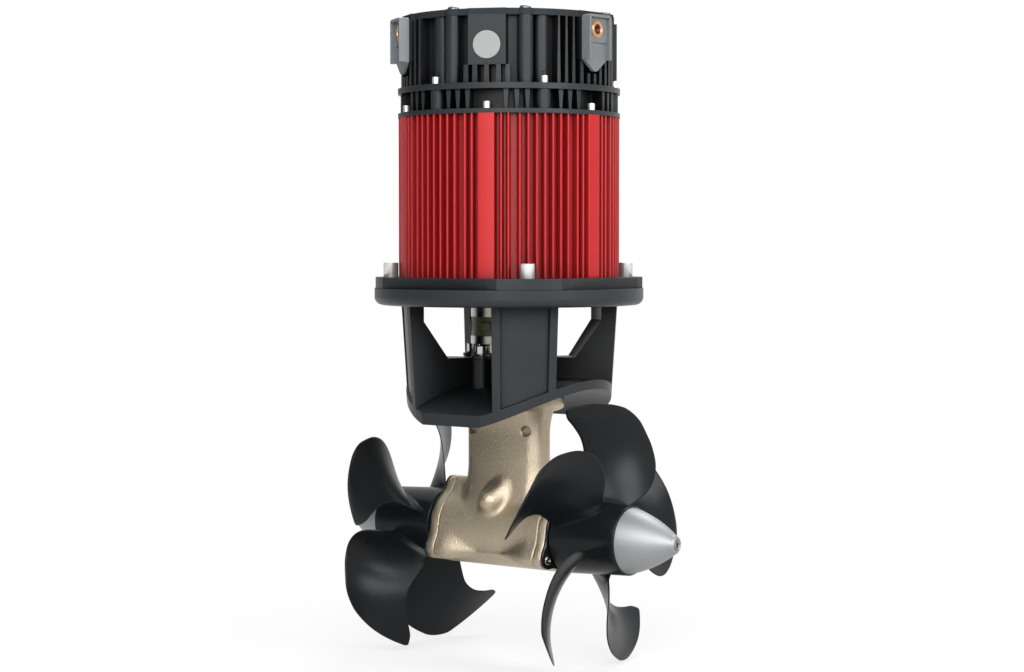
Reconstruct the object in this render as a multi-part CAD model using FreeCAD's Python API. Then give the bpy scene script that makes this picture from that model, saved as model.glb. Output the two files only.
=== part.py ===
"""Electric tunnel thruster: brushless motor above, bracket, bronze gear leg, two propellers.

Millimetres. The origin is where the motor's axis crosses the propellers' axis. +Z runs up
the motor and +X runs out along the near propeller's shaft.
"""
import FreeCAD
import Part
import math
import os

V = FreeCAD.Vector
UP = V(0, 0, 1)
OUT = V(1, 0, 0)
ORIGIN = V(0, 0, 0)

# Fits
RUNNING_FIT = 0.04
SCREW_FIT = 0.05
HEAD_FIT = 0.3

# Tunnel that the thruster is built into, and the bracket saddle on its outside
TUNNEL_BORE_R = 125.0
TUNNEL_WALL = 6.5
SADDLE_THICKNESS = 8.0
SADDLE_LIP_Y = 86.0
SADDLE_R = TUNNEL_BORE_R + TUNNEL_WALL

# Motor frame, which sets the width of everything above the bracket
FRAME_R = 100.0
FRAME_HEIGHT = 142.4
FIN_HEIGHT = 7.5
FRAME_WALL = 6.5
FRAME_ROOT_R = FRAME_R - FIN_HEIGHT
FRAME_BORE_R = FRAME_ROOT_R - FRAME_WALL
WIDE_RIB_HALF_WIDTH = 7.3
WIDE_RIB_COUNT = 6
WIDE_RIB_ANGLE = -65.0
FIN_STEPS = (7.5, 11.2, 17.0, 21.3, 25.7, 30.0, 34.3, 38.7, 43.0, 48.8, 52.5)
FIN_HALF_WIDTH = 1.5
FIN_SETBACK = 0.6

# Motor flange and the large screws beside the frame
FLANGE_SCREW_R = 4.0
FLANGE_SCREW_HEAD_R = 6.7
FLANGE_SCREW_HEAD_H = 13.0
FLANGE_SCREW_MARGIN = 13.5
FLANGE_SCREW_CIRCLE_R = FRAME_R + FLANGE_SCREW_HEAD_R + HEAD_FIT
MOTOR_FLANGE_R = FLANGE_SCREW_CIRCLE_R + FLANGE_SCREW_MARGIN
MOTOR_FLANGE_THICKNESS = 9.9
MOTOR_LOBE_HALF_ANGLE = 13.5
MOTOR_FACET_STEP = 3.5
MOTOR_FACET_HALF_ANGLE = 18.0
MOTOR_SPIGOT_DEPTH = 8.0
MOTOR_REGISTER_H = 4.0
FIRST_ARM_ANGLE = 45.0
ARM_COUNT = 4

# Bracket
BRACKET_FLANGE_STEP = 0.9
BRACKET_FLANGE_R = MOTOR_FLANGE_R + BRACKET_FLANGE_STEP
BRACKET_FLANGE_THICKNESS = 15.0
BRACKET_EDGE_ROUND = 7.0
BRACKET_BORE_R = 62.0
ARM_TOP_R = 98.0
ARM_LEAN = 5.0
ARM_HALF_ANGLE = 17.5
ARM_INNER_R = 84.0
ARM_KNEE_DROP = 14.5
ARM_TOE_R = 60.5
ARM_RIM_ANGLE = 4.4
ARM_RECESS = 2.6
PLATFORM_RISE = 17.5
BRACKET_OPEN_HEIGHT = 47.5
BRACKET_HUB_R = 36.0
BRACKET_HUB_BORE_R = 21.0
PLATFORM_Z = SADDLE_R + SADDLE_THICKNESS + PLATFORM_RISE
BRACKET_FLANGE_BOTTOM = PLATFORM_Z + BRACKET_OPEN_HEIGHT

# Bolts that clamp the leg to the bracket through the tunnel wall
LEG_BOLT_CIRCLE_R = 40.5
LEG_BOLT_R = 4.2
LEG_BOLT_HEAD_R = 6.2
LEG_BOLT_HEAD_H = 8.8
LEG_BOLT_BOSS_R = 8.5
LEG_BOLT_REACH = 12.5
WASHER_R = 9.6
WASHER_THICKNESS = 2.6

# Bronze leg
GASKET_THICKNESS = 1.5
GASKET_SETBACK = 0.5
LEG_TOP_R = TUNNEL_BORE_R - GASKET_THICKNESS
LEG_FLANGE_MARGIN = 9.5
LEG_FLANGE_R = LEG_BOLT_CIRCLE_R + LEG_FLANGE_MARGIN
LEG_FLANGE_THICKNESS = 9.0
STRUT_HALF_LENGTH = 40.0
STRUT_HALF_WIDTH = 14.5
STRUT_CORNER_R = 10.0
STRUT_FLARE_DROP = 29.5
STRUT_FLARE = 8.0
STRUT_FLARE_LINE = ((0.0, 0.0), (0.12, 0.45), (0.42, 0.78), (1.0, 1.0))
STRUT_FOOT_LINE = ((0.6, 0.7), (0.2, 1.08), (0.0, 1.4))
BLIND_HOLE_R = 4.5
BLIND_HOLE_X = 29.6
BLIND_HOLE_DROP = 31.5
BLIND_HOLE_DEPTH = 5.0
HOUSING_R = 33.5
HOUSING_HALF_LENGTH = 55.5
LOBE_CIRCLE_R = 37.8
LOBE_R = 9.0
LOBE_LENGTH = 18.0
LOBE_FILLET_R = 6.0
CHAMBER_R = 25.5
OIL_BOSS_R = 10.5
OIL_BOSS_START = V(3.0, -13.0, 37.0)
OIL_BOSS_END = V(-1.0, -27.0, 29.0)
OIL_BOSS_TIP_R = 11.5

# End caps, seal plates and their screws
CAP_THICKNESS = 8.5
CAP_SPIGOT_LENGTH = 6.0
SEAL_PLATE_THICKNESS = 2.5
SEAL_PLATE_BORE_GAP = 1.0
CAP_SCREW_COUNT = 3
CAP_SCREW_R = 2.5
CAP_SCREW_HEAD_R = 4.4
CAP_SCREW_HEAD_H = 1.8
CAP_SCREW_LENGTH = 22.0
CAP_SCREW_HOLE_DEPTH = 13.7
CAP_END = HOUSING_HALF_LENGTH + CAP_THICKNESS
PLATE_END = CAP_END + SEAL_PLATE_THICKNESS

# Bevel gears
PINION_TEETH = 13
GEAR_TEETH = 26
GEAR_PITCH_R = 21.0
GEAR_FACE = 7.0
GEAR_HUB_R = 14.0
GEAR_BACK = 5.5
GEAR_RIM = 1.0
PINION_BORE_FLOOR = 2.0
TOOTH_ADDENDUM = 0.55
TOOTH_DEDENDUM = 0.95
TOOTH_FILL = 0.34

# Shafts, bearings and seals: a bearing is bottom, outer radius, bore radius and width
BEARING_GROOVE_SHARE = 0.3
BEARING_GROOVE_DEPTH = 1.0
INPUT_SHAFT_R = 7.5
INPUT_NOSE_R = 4.0
INPUT_NOSE_GAP = 0.5
SHAFT_WAY_GAP = 2.0
SHAFT_WAY_BOTTOM = 10.0
PINION_SHOULDER_Z = 31.0
LOWER_LEG_BEARING = (33.0, 12.0, INPUT_SHAFT_R, 5.0)
UPPER_LEG_BEARING = (LEG_TOP_R - 20.5, 17.5, INPUT_SHAFT_R, 11.0)
INPUT_SEAL_R = 14.0
INPUT_SEAL_WIDTH = 6.0
INPUT_SEAL_GAP = 1.0
PROP_SHAFT_R = 9.0
PROP_SHAFT_START = 5.0
PROP_BEARING_R = 20.0
PROP_BEARING_WIDTH = 12.0
PROP_BEARING_INSET = 7.5
PROP_BEARING_START = HOUSING_HALF_LENGTH - PROP_BEARING_INSET - PROP_BEARING_WIDTH
PROP_SEAL_R = 15.0

# Propellers
HUB_GAP = 1.5
HUB_LENGTH = 66.0
HUB_START = PLATE_END + HUB_GAP
HUB_END = HUB_START + HUB_LENGTH
HUB_INNER_R = 33.5
HUB_OUTER_R = 30.5
BLADE_COUNT = 5
BLADE_TIP_GAP = 6.6
BLADE_TIP_R = TUNNEL_BORE_R - BLADE_TIP_GAP
BLADE_ROOT_DEPTH = 5.0
BLADE_ROOT_R = HUB_OUTER_R - BLADE_ROOT_DEPTH
BLADE_OFFSET = 34.0
BLADE_RAKE = 14.8
BLADE_FULLNESS = 0.8
CHORD_STEPS = 6
ROOT_PITCH = 345.6
TIP_PITCH = 253.8
ROOT_ANGLE = 39.3
TIP_ANGLE = 37.4
BLADE_ROOT_THICKNESS = 6.0
BLADE_TIP_THICKNESS = 2.2
BLADE_EDGE_THICKNESS = 0.9
BLADE_CAMBER = 3.0
PIN_R = 3.0
PIN_OFFSET = 10.0
PIN_HALF_LENGTH = 22.0
PIN_X = HUB_START + PIN_OFFSET
# Edges of one blade: share of the way from root to tip, angles of the inboard and outboard edge
BLADE_OUTLINE = (
    (0.0, 30.4, 1.8), (0.16, 30.1, -8.6), (0.33, 29.8, -15.6), (0.49, 30.6, -16.6),
    (0.65, 35.0, -12.4), (0.78, 41.0, -4.8), (0.88, 46.0, 3.4), (0.95, 49.5, 9.2),
    (1.0, 53.0, 15.0),
)

# Anode cones
CONE_LENGTH = 46.6
CONE_BASE_STEP = 1.4
CONE_BASE_R = HUB_OUTER_R - CONE_BASE_STEP
CONE_TIP_X = HUB_END + CONE_LENGTH
CONE_NOSE_R = 7.0
CONE_BULGE = 3.4
CONE_EDGE_R = 1.6
CONE_SINK_RIM = 0.6
ANODE_SCREW_R = 3.0
ANODE_SCREW_HEAD_R = 5.0
ANODE_SCREW_GRIP = 15.4
ANODE_TAP_GAP = 2.0

# Shaft coupling
COUPLING_R = 34.4
COUPLING_RISE = 12.4
LOWER_RING_H = 7.3
SPIDER_H = 17.2
UPPER_RING_H = 13.0
COUPLING_NECK_R = 18.0
COUPLING_NECK_H = 9.0
JAW_COUNT = 3
JAW_HALF_ANGLE = 17.0
JAW_INNER_R = 17.0
JAW_COVER = 2.4
JAW_OUTER_R = COUPLING_R - JAW_COVER
JAW_SIDE_FIT = 0.4
JAW_FIT = 0.15
JAW_TIP_GAP = 2.0
SPIDER_SETBACK = 0.6
RIDGE_RISE = 1.6
RIDGE_MARGIN = 5.0
RIDGE_HALF_ANGLE = 9.0
SPIDER_BORE_GAP = 0.5
INPUT_SHAFT_DROP = 0.7
COUPLING_BOTTOM = PLATFORM_Z + COUPLING_RISE
SPIDER_BOTTOM = COUPLING_BOTTOM + LOWER_RING_H
SPIDER_TOP = SPIDER_BOTTOM + SPIDER_H
COUPLING_TOP = SPIDER_TOP + UPPER_RING_H
INPUT_SHAFT_TOP_Z = SPIDER_BOTTOM - INPUT_SHAFT_DROP

# Levels of flange and frame
MOTOR_FLANGE_BOTTOM = BRACKET_FLANGE_BOTTOM + BRACKET_FLANGE_THICKNESS
FRAME_BOTTOM = MOTOR_FLANGE_BOTTOM + MOTOR_FLANGE_THICKNESS
FRAME_TOP = FRAME_BOTTOM + FRAME_HEIGHT

# Motor inside: a bearing is bottom, outer radius, bore radius and width
MOTOR_BEARING_DROP = 2.9
SHIELD_BEARING_DROP = 3.8
LOWER_MOTOR_BEARING = (FRAME_BOTTOM - MOTOR_BEARING_DROP, 31.0, 15.0, 16.0)
UPPER_MOTOR_BEARING = (FRAME_TOP - SHIELD_BEARING_DROP, 26.0, 12.5, 15.0)
BEARING_SEAT_WALL = 7.0
BEARING_LIP = 5.0
MOTOR_SHAFT_R = 17.0
MOTOR_SHAFT_GRIP = 7.9
MOTOR_SHAFT_TAIL = 4.0
STACK_RISE = 36.6
STACK_HEIGHT = 76.0
STACK_BOTTOM = FRAME_BOTTOM + STACK_RISE
STATOR_INNER_R = 58.0
STATOR_SLOTS = 12
SLOT_LIP = 2.0
SLOT_DEPTH_SHARE = 0.6
SLOT_WIDTH_SHARE = 0.55
SLOT_FIT = 0.2
AIR_GAP = 2.0
MAGNET_THICKNESS = 4.0
MAGNET_COUNT = 8
MAGNET_WIDTH_SHARE = 0.86
MAGNET_SETBACK = 1.0
ROTOR_R = STATOR_INNER_R - AIR_GAP - MAGNET_THICKNESS
WINDING_OVERHANG = 13.0
WINDING_GAP = 0.5

# End shield on top of the frame
PLATE_THICKNESS = 3.9
SHIELD_HEIGHT = 17.1
SHIELD_CORE_R = FRAME_BORE_R
SHIELD_RIB_SETBACK = 2.5
SHIELD_RIB_R = FRAME_R - SHIELD_RIB_SETBACK
SHIELD_RIB_STEPS = (-21.0, -15.5, -10.0, 10.0, 15.5, 21.0)
SHIELD_RIB_WIDTHS = (2.4, 4.6)
SHIELD_REGISTER_H = 5.0
SHIELD_WALL = 7.0
SHIELD_RELIEF_TOP = 8.0
SHIELD_RELIEF_GAP = 8.0
SHAFT_OPENING_GAP = 4.0
HEAD_SCREW_COUNT = 6
HEAD_SCREW_R = 2.0
HEAD_SCREW_HEAD_R = 3.1
HEAD_SCREW_HEAD_H = 6.2
HEAD_SCREW_INSET = 4.0
HEAD_SCREW_CIRCLE_R = FRAME_R - HEAD_SCREW_INSET
RING_SCREW_GRIP = 8.0
SHIELD_COLUMN_INSET = 3.6
SHIELD_COLUMN_CENTRE_R = HEAD_SCREW_CIRCLE_R - SHIELD_COLUMN_INSET
RING_SCREW_ANGLE = -35.0
PLATE_SCREW_ANGLE = -65.0
PLATE_TOP = FRAME_TOP + PLATE_THICKNESS
RING_BOTTOM = PLATE_TOP + SHIELD_HEIGHT

# Electronics head
RING_R = FRAME_R
RING_THICKNESS = 5.1
RING_TOP = RING_BOTTOM + RING_THICKNESS
HEAD_HEIGHT = 58.4
HEAD_TOP = RING_TOP + HEAD_HEIGHT
HEAD_CORE_R = SHIELD_CORE_R
HEAD_WALL = 4.5
HEAD_FIN_SETBACK = 3.0
HEAD_FIN_R = RING_R - HEAD_FIN_SETBACK
FIN_SINK = 3.0
SEAT_SINK = 0.5
LID_THICKNESS = 5.5
LID_TOP = HEAD_TOP + LID_THICKNESS
LID_SETBACK = 5.5
LID_R = RING_R - LID_SETBACK
LID_SPIGOT_H = 3.0
EAR_RIM = 0.6
COLUMN_R = 6.8
RING_COLUMN_STEP = 0.5
RING_COLUMN_CENTRE_R = HEAD_CORE_R + RING_COLUMN_STEP
LID_COLUMN_INSET = 4.0
LID_COLUMN_CENTRE_R = LID_R - LID_COLUMN_INSET
LID_SCREW_ANGLES = (-85.5, -44.5, 16.5, 76.5, 136.5, 196.5)
LID_SCREW_R = 2.5
LID_SCREW_HEAD_R = 5.2
LID_SCREW_HEAD_H = 2.6
LID_SCREW_GRIP = 12.0
LID_SCREW_SOCKET_R = 1.7
LID_SCREW_SOCKET_RISE = 1.0
LID_TAP_GAP = 4.0
SCREW_POCKET_RISE = 4.0

# Panel with the bare disc, and the rows of fins
PAD_SINK = 8.0
PANEL_ANGLE = -65.0
PANEL_HALF_WIDTH = 16.5
PANEL_STEP = 1.0
PANEL_DISTANCE = LID_R + PANEL_STEP
PANEL_RISE = 15.5
PANEL_BOTTOM = RING_TOP + PANEL_RISE
DISC_R = 12.0
DISC_RISE = 17.2
DISC_Z = PANEL_BOTTOM + DISC_RISE
DISC_THICKNESS = 1.4
TERMINAL_ANGLES = (-5.0, -125.0)
PLAIN_SECTOR_ANGLES = (55.0, 115.0, 175.0)
PANEL_RIB_STEPS = (-11.0, -6.2, 0.0, 6.2, 11.0)
PANEL_RIB_WIDTHS = (4.6, 4.0)
TERMINAL_RIB_STEPS = (-2.5, 2.5)
TERMINAL_SIDE_STEPS = (-7.5, 7.5)
TERMINAL_RIB_WIDTHS = (3.6, 3.0)
SIDE_FIN_STEPS = (-22.0, -17.5, -13.0, 13.0, 17.5)
PLAIN_FIN_STEPS = (-20.0, -15.0, -10.0, -5.0, 0.0, 5.0, 10.0, 15.0)
TALL_FIN_WIDTHS = (3.2, 1.6)

# Power terminals
SHROUD_HALF_WIDTH = 14.8
SHROUD_PAD = 2.2
SHROUD_BACK = PANEL_DISTANCE + SHROUD_PAD
SHROUD_DEPTH = 9.0
SHROUD_FRONT = SHROUD_BACK + SHROUD_DEPTH
SHROUD_RISE = 1.9
SHROUD_TOP = HEAD_TOP + SHROUD_RISE
SHROUD_HEIGHT = 38.8
SHROUD_BOTTOM = SHROUD_TOP - SHROUD_HEIGHT
SHROUD_POINT_LENGTH = 11.8
SHROUD_POINT = SHROUD_BOTTOM - SHROUD_POINT_LENGTH
SHROUD_POINT_R = 6.0
SHROUD_WALL = 2.3
SHROUD_PLATE = 3.2
SHROUD_EDGE_R = 3.0
SHROUD_BOSS_HEIGHT = 23.8
SHROUD_BOSS_BOTTOM = SHROUD_TOP - SHROUD_BOSS_HEIGHT
SHROUD_BOSS_MARGIN = 1.0
INSERT_DROP = 12.5
INSERT_Z = SHROUD_TOP - INSERT_DROP
INSERT_R = 7.8
INSERT_REACH = 5.3
INSERT_FACE = SHROUD_BACK + INSERT_REACH
INSERT_PROUD = 0.6
INSERT_LENGTH = 14.0
INSERT_HOLE_R = 3.4

# Drive electronics
BOARD_GAP = 3.5
BOARD_R = HEAD_CORE_R - HEAD_WALL - BOARD_GAP
BOARD_RISE = 14.1
BOARD_Z = RING_TOP + BOARD_RISE
BOARD_THICKNESS = 2.0
BOARD_POST_R = 4.0
BOARD_POST_INSET = 8.0
BOARD_POST_ANGLE = 20.0
CAPACITOR_R = 9.0
CAPACITOR_H = 30.0
CAPACITOR_COUNT = 6
CAPACITOR_CIRCLE_R = 52.0


def cylinder(radius, bottom, height):
    """Upright cylinder on the motor's axis."""
    return Part.makeCylinder(radius, height, V(0, 0, bottom), UP)


def ring(outer, inner, bottom, height):
    """Upright tube on the motor's axis."""
    return cylinder(outer, bottom, height).cut(cylinder(inner, bottom - 1, height + 2))


def bar(radius, start, end):
    """Cylinder along the propellers' axis, from x = start to x = end."""
    return Part.makeCylinder(radius, end - start, V(start, 0, 0), OUT)


def tube(outer, inner, start, end):
    """Tube along the propellers' axis."""
    return bar(outer, start, end).cut(bar(inner, start - 1, end + 1))


def post(radius, x, y, bottom, height):
    """Upright cylinder away from the axis."""
    return Part.makeCylinder(radius, height, V(x, y, bottom), UP)


def at_angle(radius, degrees):
    """Point on a circle about the motor's axis."""
    a = math.radians(degrees)
    return V(radius * math.cos(a), radius * math.sin(a), 0)


def turned(shape, degrees, axis=UP):
    """Copy turned about an axis through the origin."""
    copy = shape.copy()
    copy.rotate(ORIGIN, axis, degrees)
    return copy


def around(shape, count, start=0.0, axis=UP):
    """Copies evenly spaced about an axis."""
    return [turned(shape, start + 360.0 * k / count, axis) for k in range(count)]


def mirrored(shape):
    """Copy on the far side, at -X."""
    return shape.mirror(ORIGIN, OUT)


def fused(first, others):
    """One solid of several overlapping ones."""
    return first.multiFuse(others).removeSplitter()


def polygon_face(points):
    """Flat face inside straight edges."""
    return Part.Face(Part.makePolygon(points + [points[0]]))


def block(x0, x1, y0, y1, z0, z1):
    """Box between opposite corners."""
    return Part.makeBox(x1 - x0, y1 - y0, z1 - z0, V(x0, y0, z0))


def radial_fin(angle, inner, outer, foot_width, top_width, bottom, top, outer_top=None):
    """Upright fin that stands out from the axis and tapers with height."""
    reach = outer if outer_top is None else outer_top
    wires = []
    for z, width, r in ((bottom, foot_width, outer), (top, top_width, reach)):
        h = width / 2
        corners = [V(inner, -h, z), V(r, -h, z), V(r, h, z), V(inner, h, z)]
        wires.append(Part.makePolygon(corners + [corners[0]]))
    return turned(Part.makeLoft(wires, True, True), angle)


def save(name, *solids):
    """Write one sub-part as a STEP file."""
    shape = solids[0] if len(solids) == 1 else Part.makeCompound(list(solids))
    shape.exportStep("parts/" + name + ".step")


def bearing(place):
    """Sealed ball bearing with a shallow groove in each side face."""
    bottom, outer, seat, width = place
    bore = seat + RUNNING_FIT
    body = ring(outer, bore, bottom, width)
    span = outer - bore
    margin = span * BEARING_GROOVE_SHARE
    for z in (bottom - 1, bottom + width - BEARING_GROOVE_DEPTH):
        body = body.cut(ring(outer - margin, bore + margin, z, BEARING_GROOVE_DEPTH + 1))
    return body


# Bracket


def saddle():
    """Curved foot that sits on the outside of the tunnel."""
    outer = bar(SADDLE_R + SADDLE_THICKNESS, -ARM_TOP_R, ARM_TOP_R)
    lips = block(-ARM_TOP_R, ARM_TOP_R, -SADDLE_LIP_Y, SADDLE_LIP_Y, 0, PLATFORM_Z)
    return outer.common(lips).common(arm_envelope())


def arm_radius(z):
    """Outer radius of the arms, which lean in a little towards the foot."""
    share = (BRACKET_FLANGE_BOTTOM - z) / (BRACKET_FLANGE_BOTTOM - TUNNEL_BORE_R)
    return ARM_TOP_R - ARM_LEAN * share


def arm_envelope():
    """Cone that holds the bracket's arms and foot."""
    low = TUNNEL_BORE_R - SADDLE_LIP_Y
    height = BRACKET_FLANGE_BOTTOM - low
    return Part.makeCone(arm_radius(low), ARM_TOP_R, height, V(0, 0, low), UP)


def arm():
    """Wedge between two radial planes, cut back above its knee to clear the coupling."""
    low = TUNNEL_BORE_R - SADDLE_LIP_Y
    top = BRACKET_FLANGE_BOTTOM + 1
    profile = [
        V(BRACKET_HUB_R - 2, 0, low), V(arm_radius(low), 0, low), V(arm_radius(top), 0, top),
        V(ARM_INNER_R, 0, top), V(ARM_INNER_R, 0, BRACKET_FLANGE_BOTTOM - ARM_KNEE_DROP),
        V(ARM_TOE_R, 0, PLATFORM_Z), V(BRACKET_HUB_R - 2, 0, PLATFORM_Z),
    ]
    wedge = turned(polygon_face(profile).revolve(ORIGIN, UP, 2 * ARM_HALF_ANGLE), -ARM_HALF_ANGLE)
    flat_angle = ARM_HALF_ANGLE - ARM_RIM_ANGLE
    beyond = 2 * ARM_TOP_R
    floor = [
        V(arm_radius(low) - ARM_RECESS, 0, low), V(beyond, 0, low),
        V(beyond, 0, BRACKET_FLANGE_BOTTOM),
        V(arm_radius(BRACKET_FLANGE_BOTTOM) - ARM_RECESS, 0, BRACKET_FLANGE_BOTTOM),
    ]
    recess = turned(polygon_face(floor).revolve(ORIGIN, UP, 2 * flat_angle), -flat_angle)
    return wedge.cut(recess)


def bracket():
    """Flange, four arms, central hub with its bolt bosses, and the saddle."""
    flange = cylinder(BRACKET_FLANGE_R, BRACKET_FLANGE_BOTTOM, BRACKET_FLANGE_THICKNESS)
    lower_edge = [e for e in flange.Edges if abs(e.CenterOfMass.z - BRACKET_FLANGE_BOTTOM) < 0.01
                  and e.BoundBox.ZLength < 0.01 and e.Length > BRACKET_FLANGE_R]
    flange = flange.makeFillet(BRACKET_EDGE_ROUND, lower_edge)
    low = TUNNEL_BORE_R - SADDLE_LIP_Y
    hub = cylinder(BRACKET_HUB_R, low, PLATFORM_Z - low)
    boss = post(LEG_BOLT_BOSS_R, LEG_BOLT_CIRCLE_R, 0, low, PLATFORM_Z - low)
    body = fused(saddle(), around(arm(), ARM_COUNT, FIRST_ARM_ANGLE) + [hub] + around(boss, ARM_COUNT))
    body = body.cut(bar(SADDLE_R, -2 * ARM_TOP_R, 2 * ARM_TOP_R))
    body = fused(body, [flange])
    cuts = [cylinder(BRACKET_BORE_R, BRACKET_FLANGE_BOTTOM - 5, BRACKET_FLANGE_THICKNESS + 10),
            cylinder(BRACKET_HUB_BORE_R, low, PLATFORM_Z - low + 1)]
    bolt_hole = post(LEG_BOLT_R + SCREW_FIT, LEG_BOLT_CIRCLE_R, 0, low, PLATFORM_Z)
    cuts += around(bolt_hole, ARM_COUNT)
    screw_hole = post(FLANGE_SCREW_R + SCREW_FIT, FLANGE_SCREW_CIRCLE_R, 0,
                      BRACKET_FLANGE_BOTTOM - 1, BRACKET_FLANGE_THICKNESS + 2)
    cuts += around(screw_hole, ARM_COUNT, FIRST_ARM_ANGLE)
    for cutter in cuts:
        body = body.cut(cutter)
    return body


def socket_screw(shank_r, head_r, head_h, seat, tip, x, y):
    """Cap screw with a hexagon socket, head up on its seat."""
    head = post(head_r, x, y, seat, head_h)
    rim = [e for e in head.Edges if e.BoundBox.ZLength < 0.01 and e.CenterOfMass.z > seat + head_h / 2]
    head = head.makeChamfer(head_r * 0.1, rim)
    socket_r = head_r * 0.55
    depth = head_h * 0.45
    corners = [V(x, y, seat + head_h - depth) + at_angle(socket_r, 60 * k) for k in range(6)]
    socket = polygon_face(corners).extrude(V(0, 0, depth + 1))
    return head.cut(socket).fuse(post(shank_r, x, y, tip, seat - tip)).removeSplitter()


def leg_bolts():
    """Four cap screws through bracket and tunnel into the leg's flange."""
    seat = PLATFORM_Z + WASHER_THICKNESS
    bolt = socket_screw(LEG_BOLT_R, LEG_BOLT_HEAD_R, LEG_BOLT_HEAD_H, seat,
                        LEG_TOP_R - LEG_BOLT_REACH, LEG_BOLT_CIRCLE_R, 0)
    return around(bolt, ARM_COUNT)


def leg_washers():
    """Washer under each leg bolt."""
    disc = post(WASHER_R, LEG_BOLT_CIRCLE_R, 0, PLATFORM_Z, WASHER_THICKNESS)
    hole = post(LEG_BOLT_R + SCREW_FIT, LEG_BOLT_CIRCLE_R, 0, PLATFORM_Z - 1, WASHER_THICKNESS + 2)
    return around(disc.cut(hole), ARM_COUNT)


# Leg and gear housing


def leg_gasket():
    """Curved gasket between the leg's flange and the tunnel's inner wall."""
    sheet = tube(TUNNEL_BORE_R, LEG_TOP_R, -LEG_FLANGE_R, LEG_FLANGE_R)
    disc = cylinder(LEG_FLANGE_R - GASKET_SETBACK, LEG_TOP_R / 2, LEG_TOP_R)
    sheet = sheet.common(disc).cut(cylinder(BRACKET_HUB_BORE_R, 0, 2 * TUNNEL_BORE_R))
    hole = post(LEG_BOLT_R + SCREW_FIT, LEG_BOLT_CIRCLE_R, 0, 0, 2 * TUNNEL_BORE_R)
    for cutter in around(hole, ARM_COUNT):
        sheet = sheet.cut(cutter)
    return sheet


def strut_wire(grow, z):
    """Rounded oblong section of the strut."""
    a = STRUT_HALF_LENGTH + grow
    b = STRUT_HALF_WIDTH + grow
    r = min(STRUT_CORNER_R + grow, b - 0.2)
    c = r * math.cos(math.pi / 4)
    points = [(a, -b + r), (a, b - r), (a - r, b), (-a + r, b), (-a, b - r), (-a, -b + r),
              (-a + r, -b), (a - r, -b)]
    middles = {1: (a - r + c, b - r + c), 3: (-a + r - c, b - r + c),
               5: (-a + r - c, -b + r - c), 7: (a - r + c, -b + r - c)}
    edges = []
    for k in range(8):
        start = V(points[k][0], points[k][1], z)
        end = V(points[(k + 1) % 8][0], points[(k + 1) % 8][1], z)
        if k in middles:
            middle = V(middles[k][0], middles[k][1], z)
            edges.append(Part.Arc(start, middle, end).toShape())
        else:
            edges.append(Part.makeLine(start, end))
    return Part.Wire(edges)


def lobed_section(start, length):
    """Round body with three screw lobes, along the propellers' axis."""
    body = bar(HOUSING_R, start, start + length)
    lobe = bar(LOBE_R, start, start + length)
    lobe.translate(V(0, 0, LOBE_CIRCLE_R))
    web = block(start, start + length, -LOBE_R, LOBE_R, 0, LOBE_CIRCLE_R)
    body = fused(body, around(lobe.fuse(web), CAP_SCREW_COUNT, 0, OUT))
    roots = []
    for edge in body.Edges:
        place = edge.CenterOfMass
        if edge.BoundBox.XLength > length - 0.01 and abs(math.hypot(place.y, place.z) - HOUSING_R) < 0.01:
            roots.append(edge)
    return body.makeFillet(LOBE_FILLET_R, roots)


def lobe_centres():
    """Screw places on the end caps, as y and z."""
    angles = [2 * math.pi * k / CAP_SCREW_COUNT for k in range(CAP_SCREW_COUNT)]
    return [(-LOBE_CIRCLE_R * math.sin(a), LOBE_CIRCLE_R * math.cos(a)) for a in angles]


def rounded_boss():
    """Teardrop boss of the oil passage, low on the strut's side."""
    line = OIL_BOSS_END - OIL_BOSS_START
    cone = Part.makeCone(OIL_BOSS_R, OIL_BOSS_TIP_R, line.Length, OIL_BOSS_START, line)
    ends = [Part.makeSphere(OIL_BOSS_R, OIL_BOSS_START), Part.makeSphere(OIL_BOSS_TIP_R, OIL_BOSS_END)]
    return fused(cone, ends)


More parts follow.
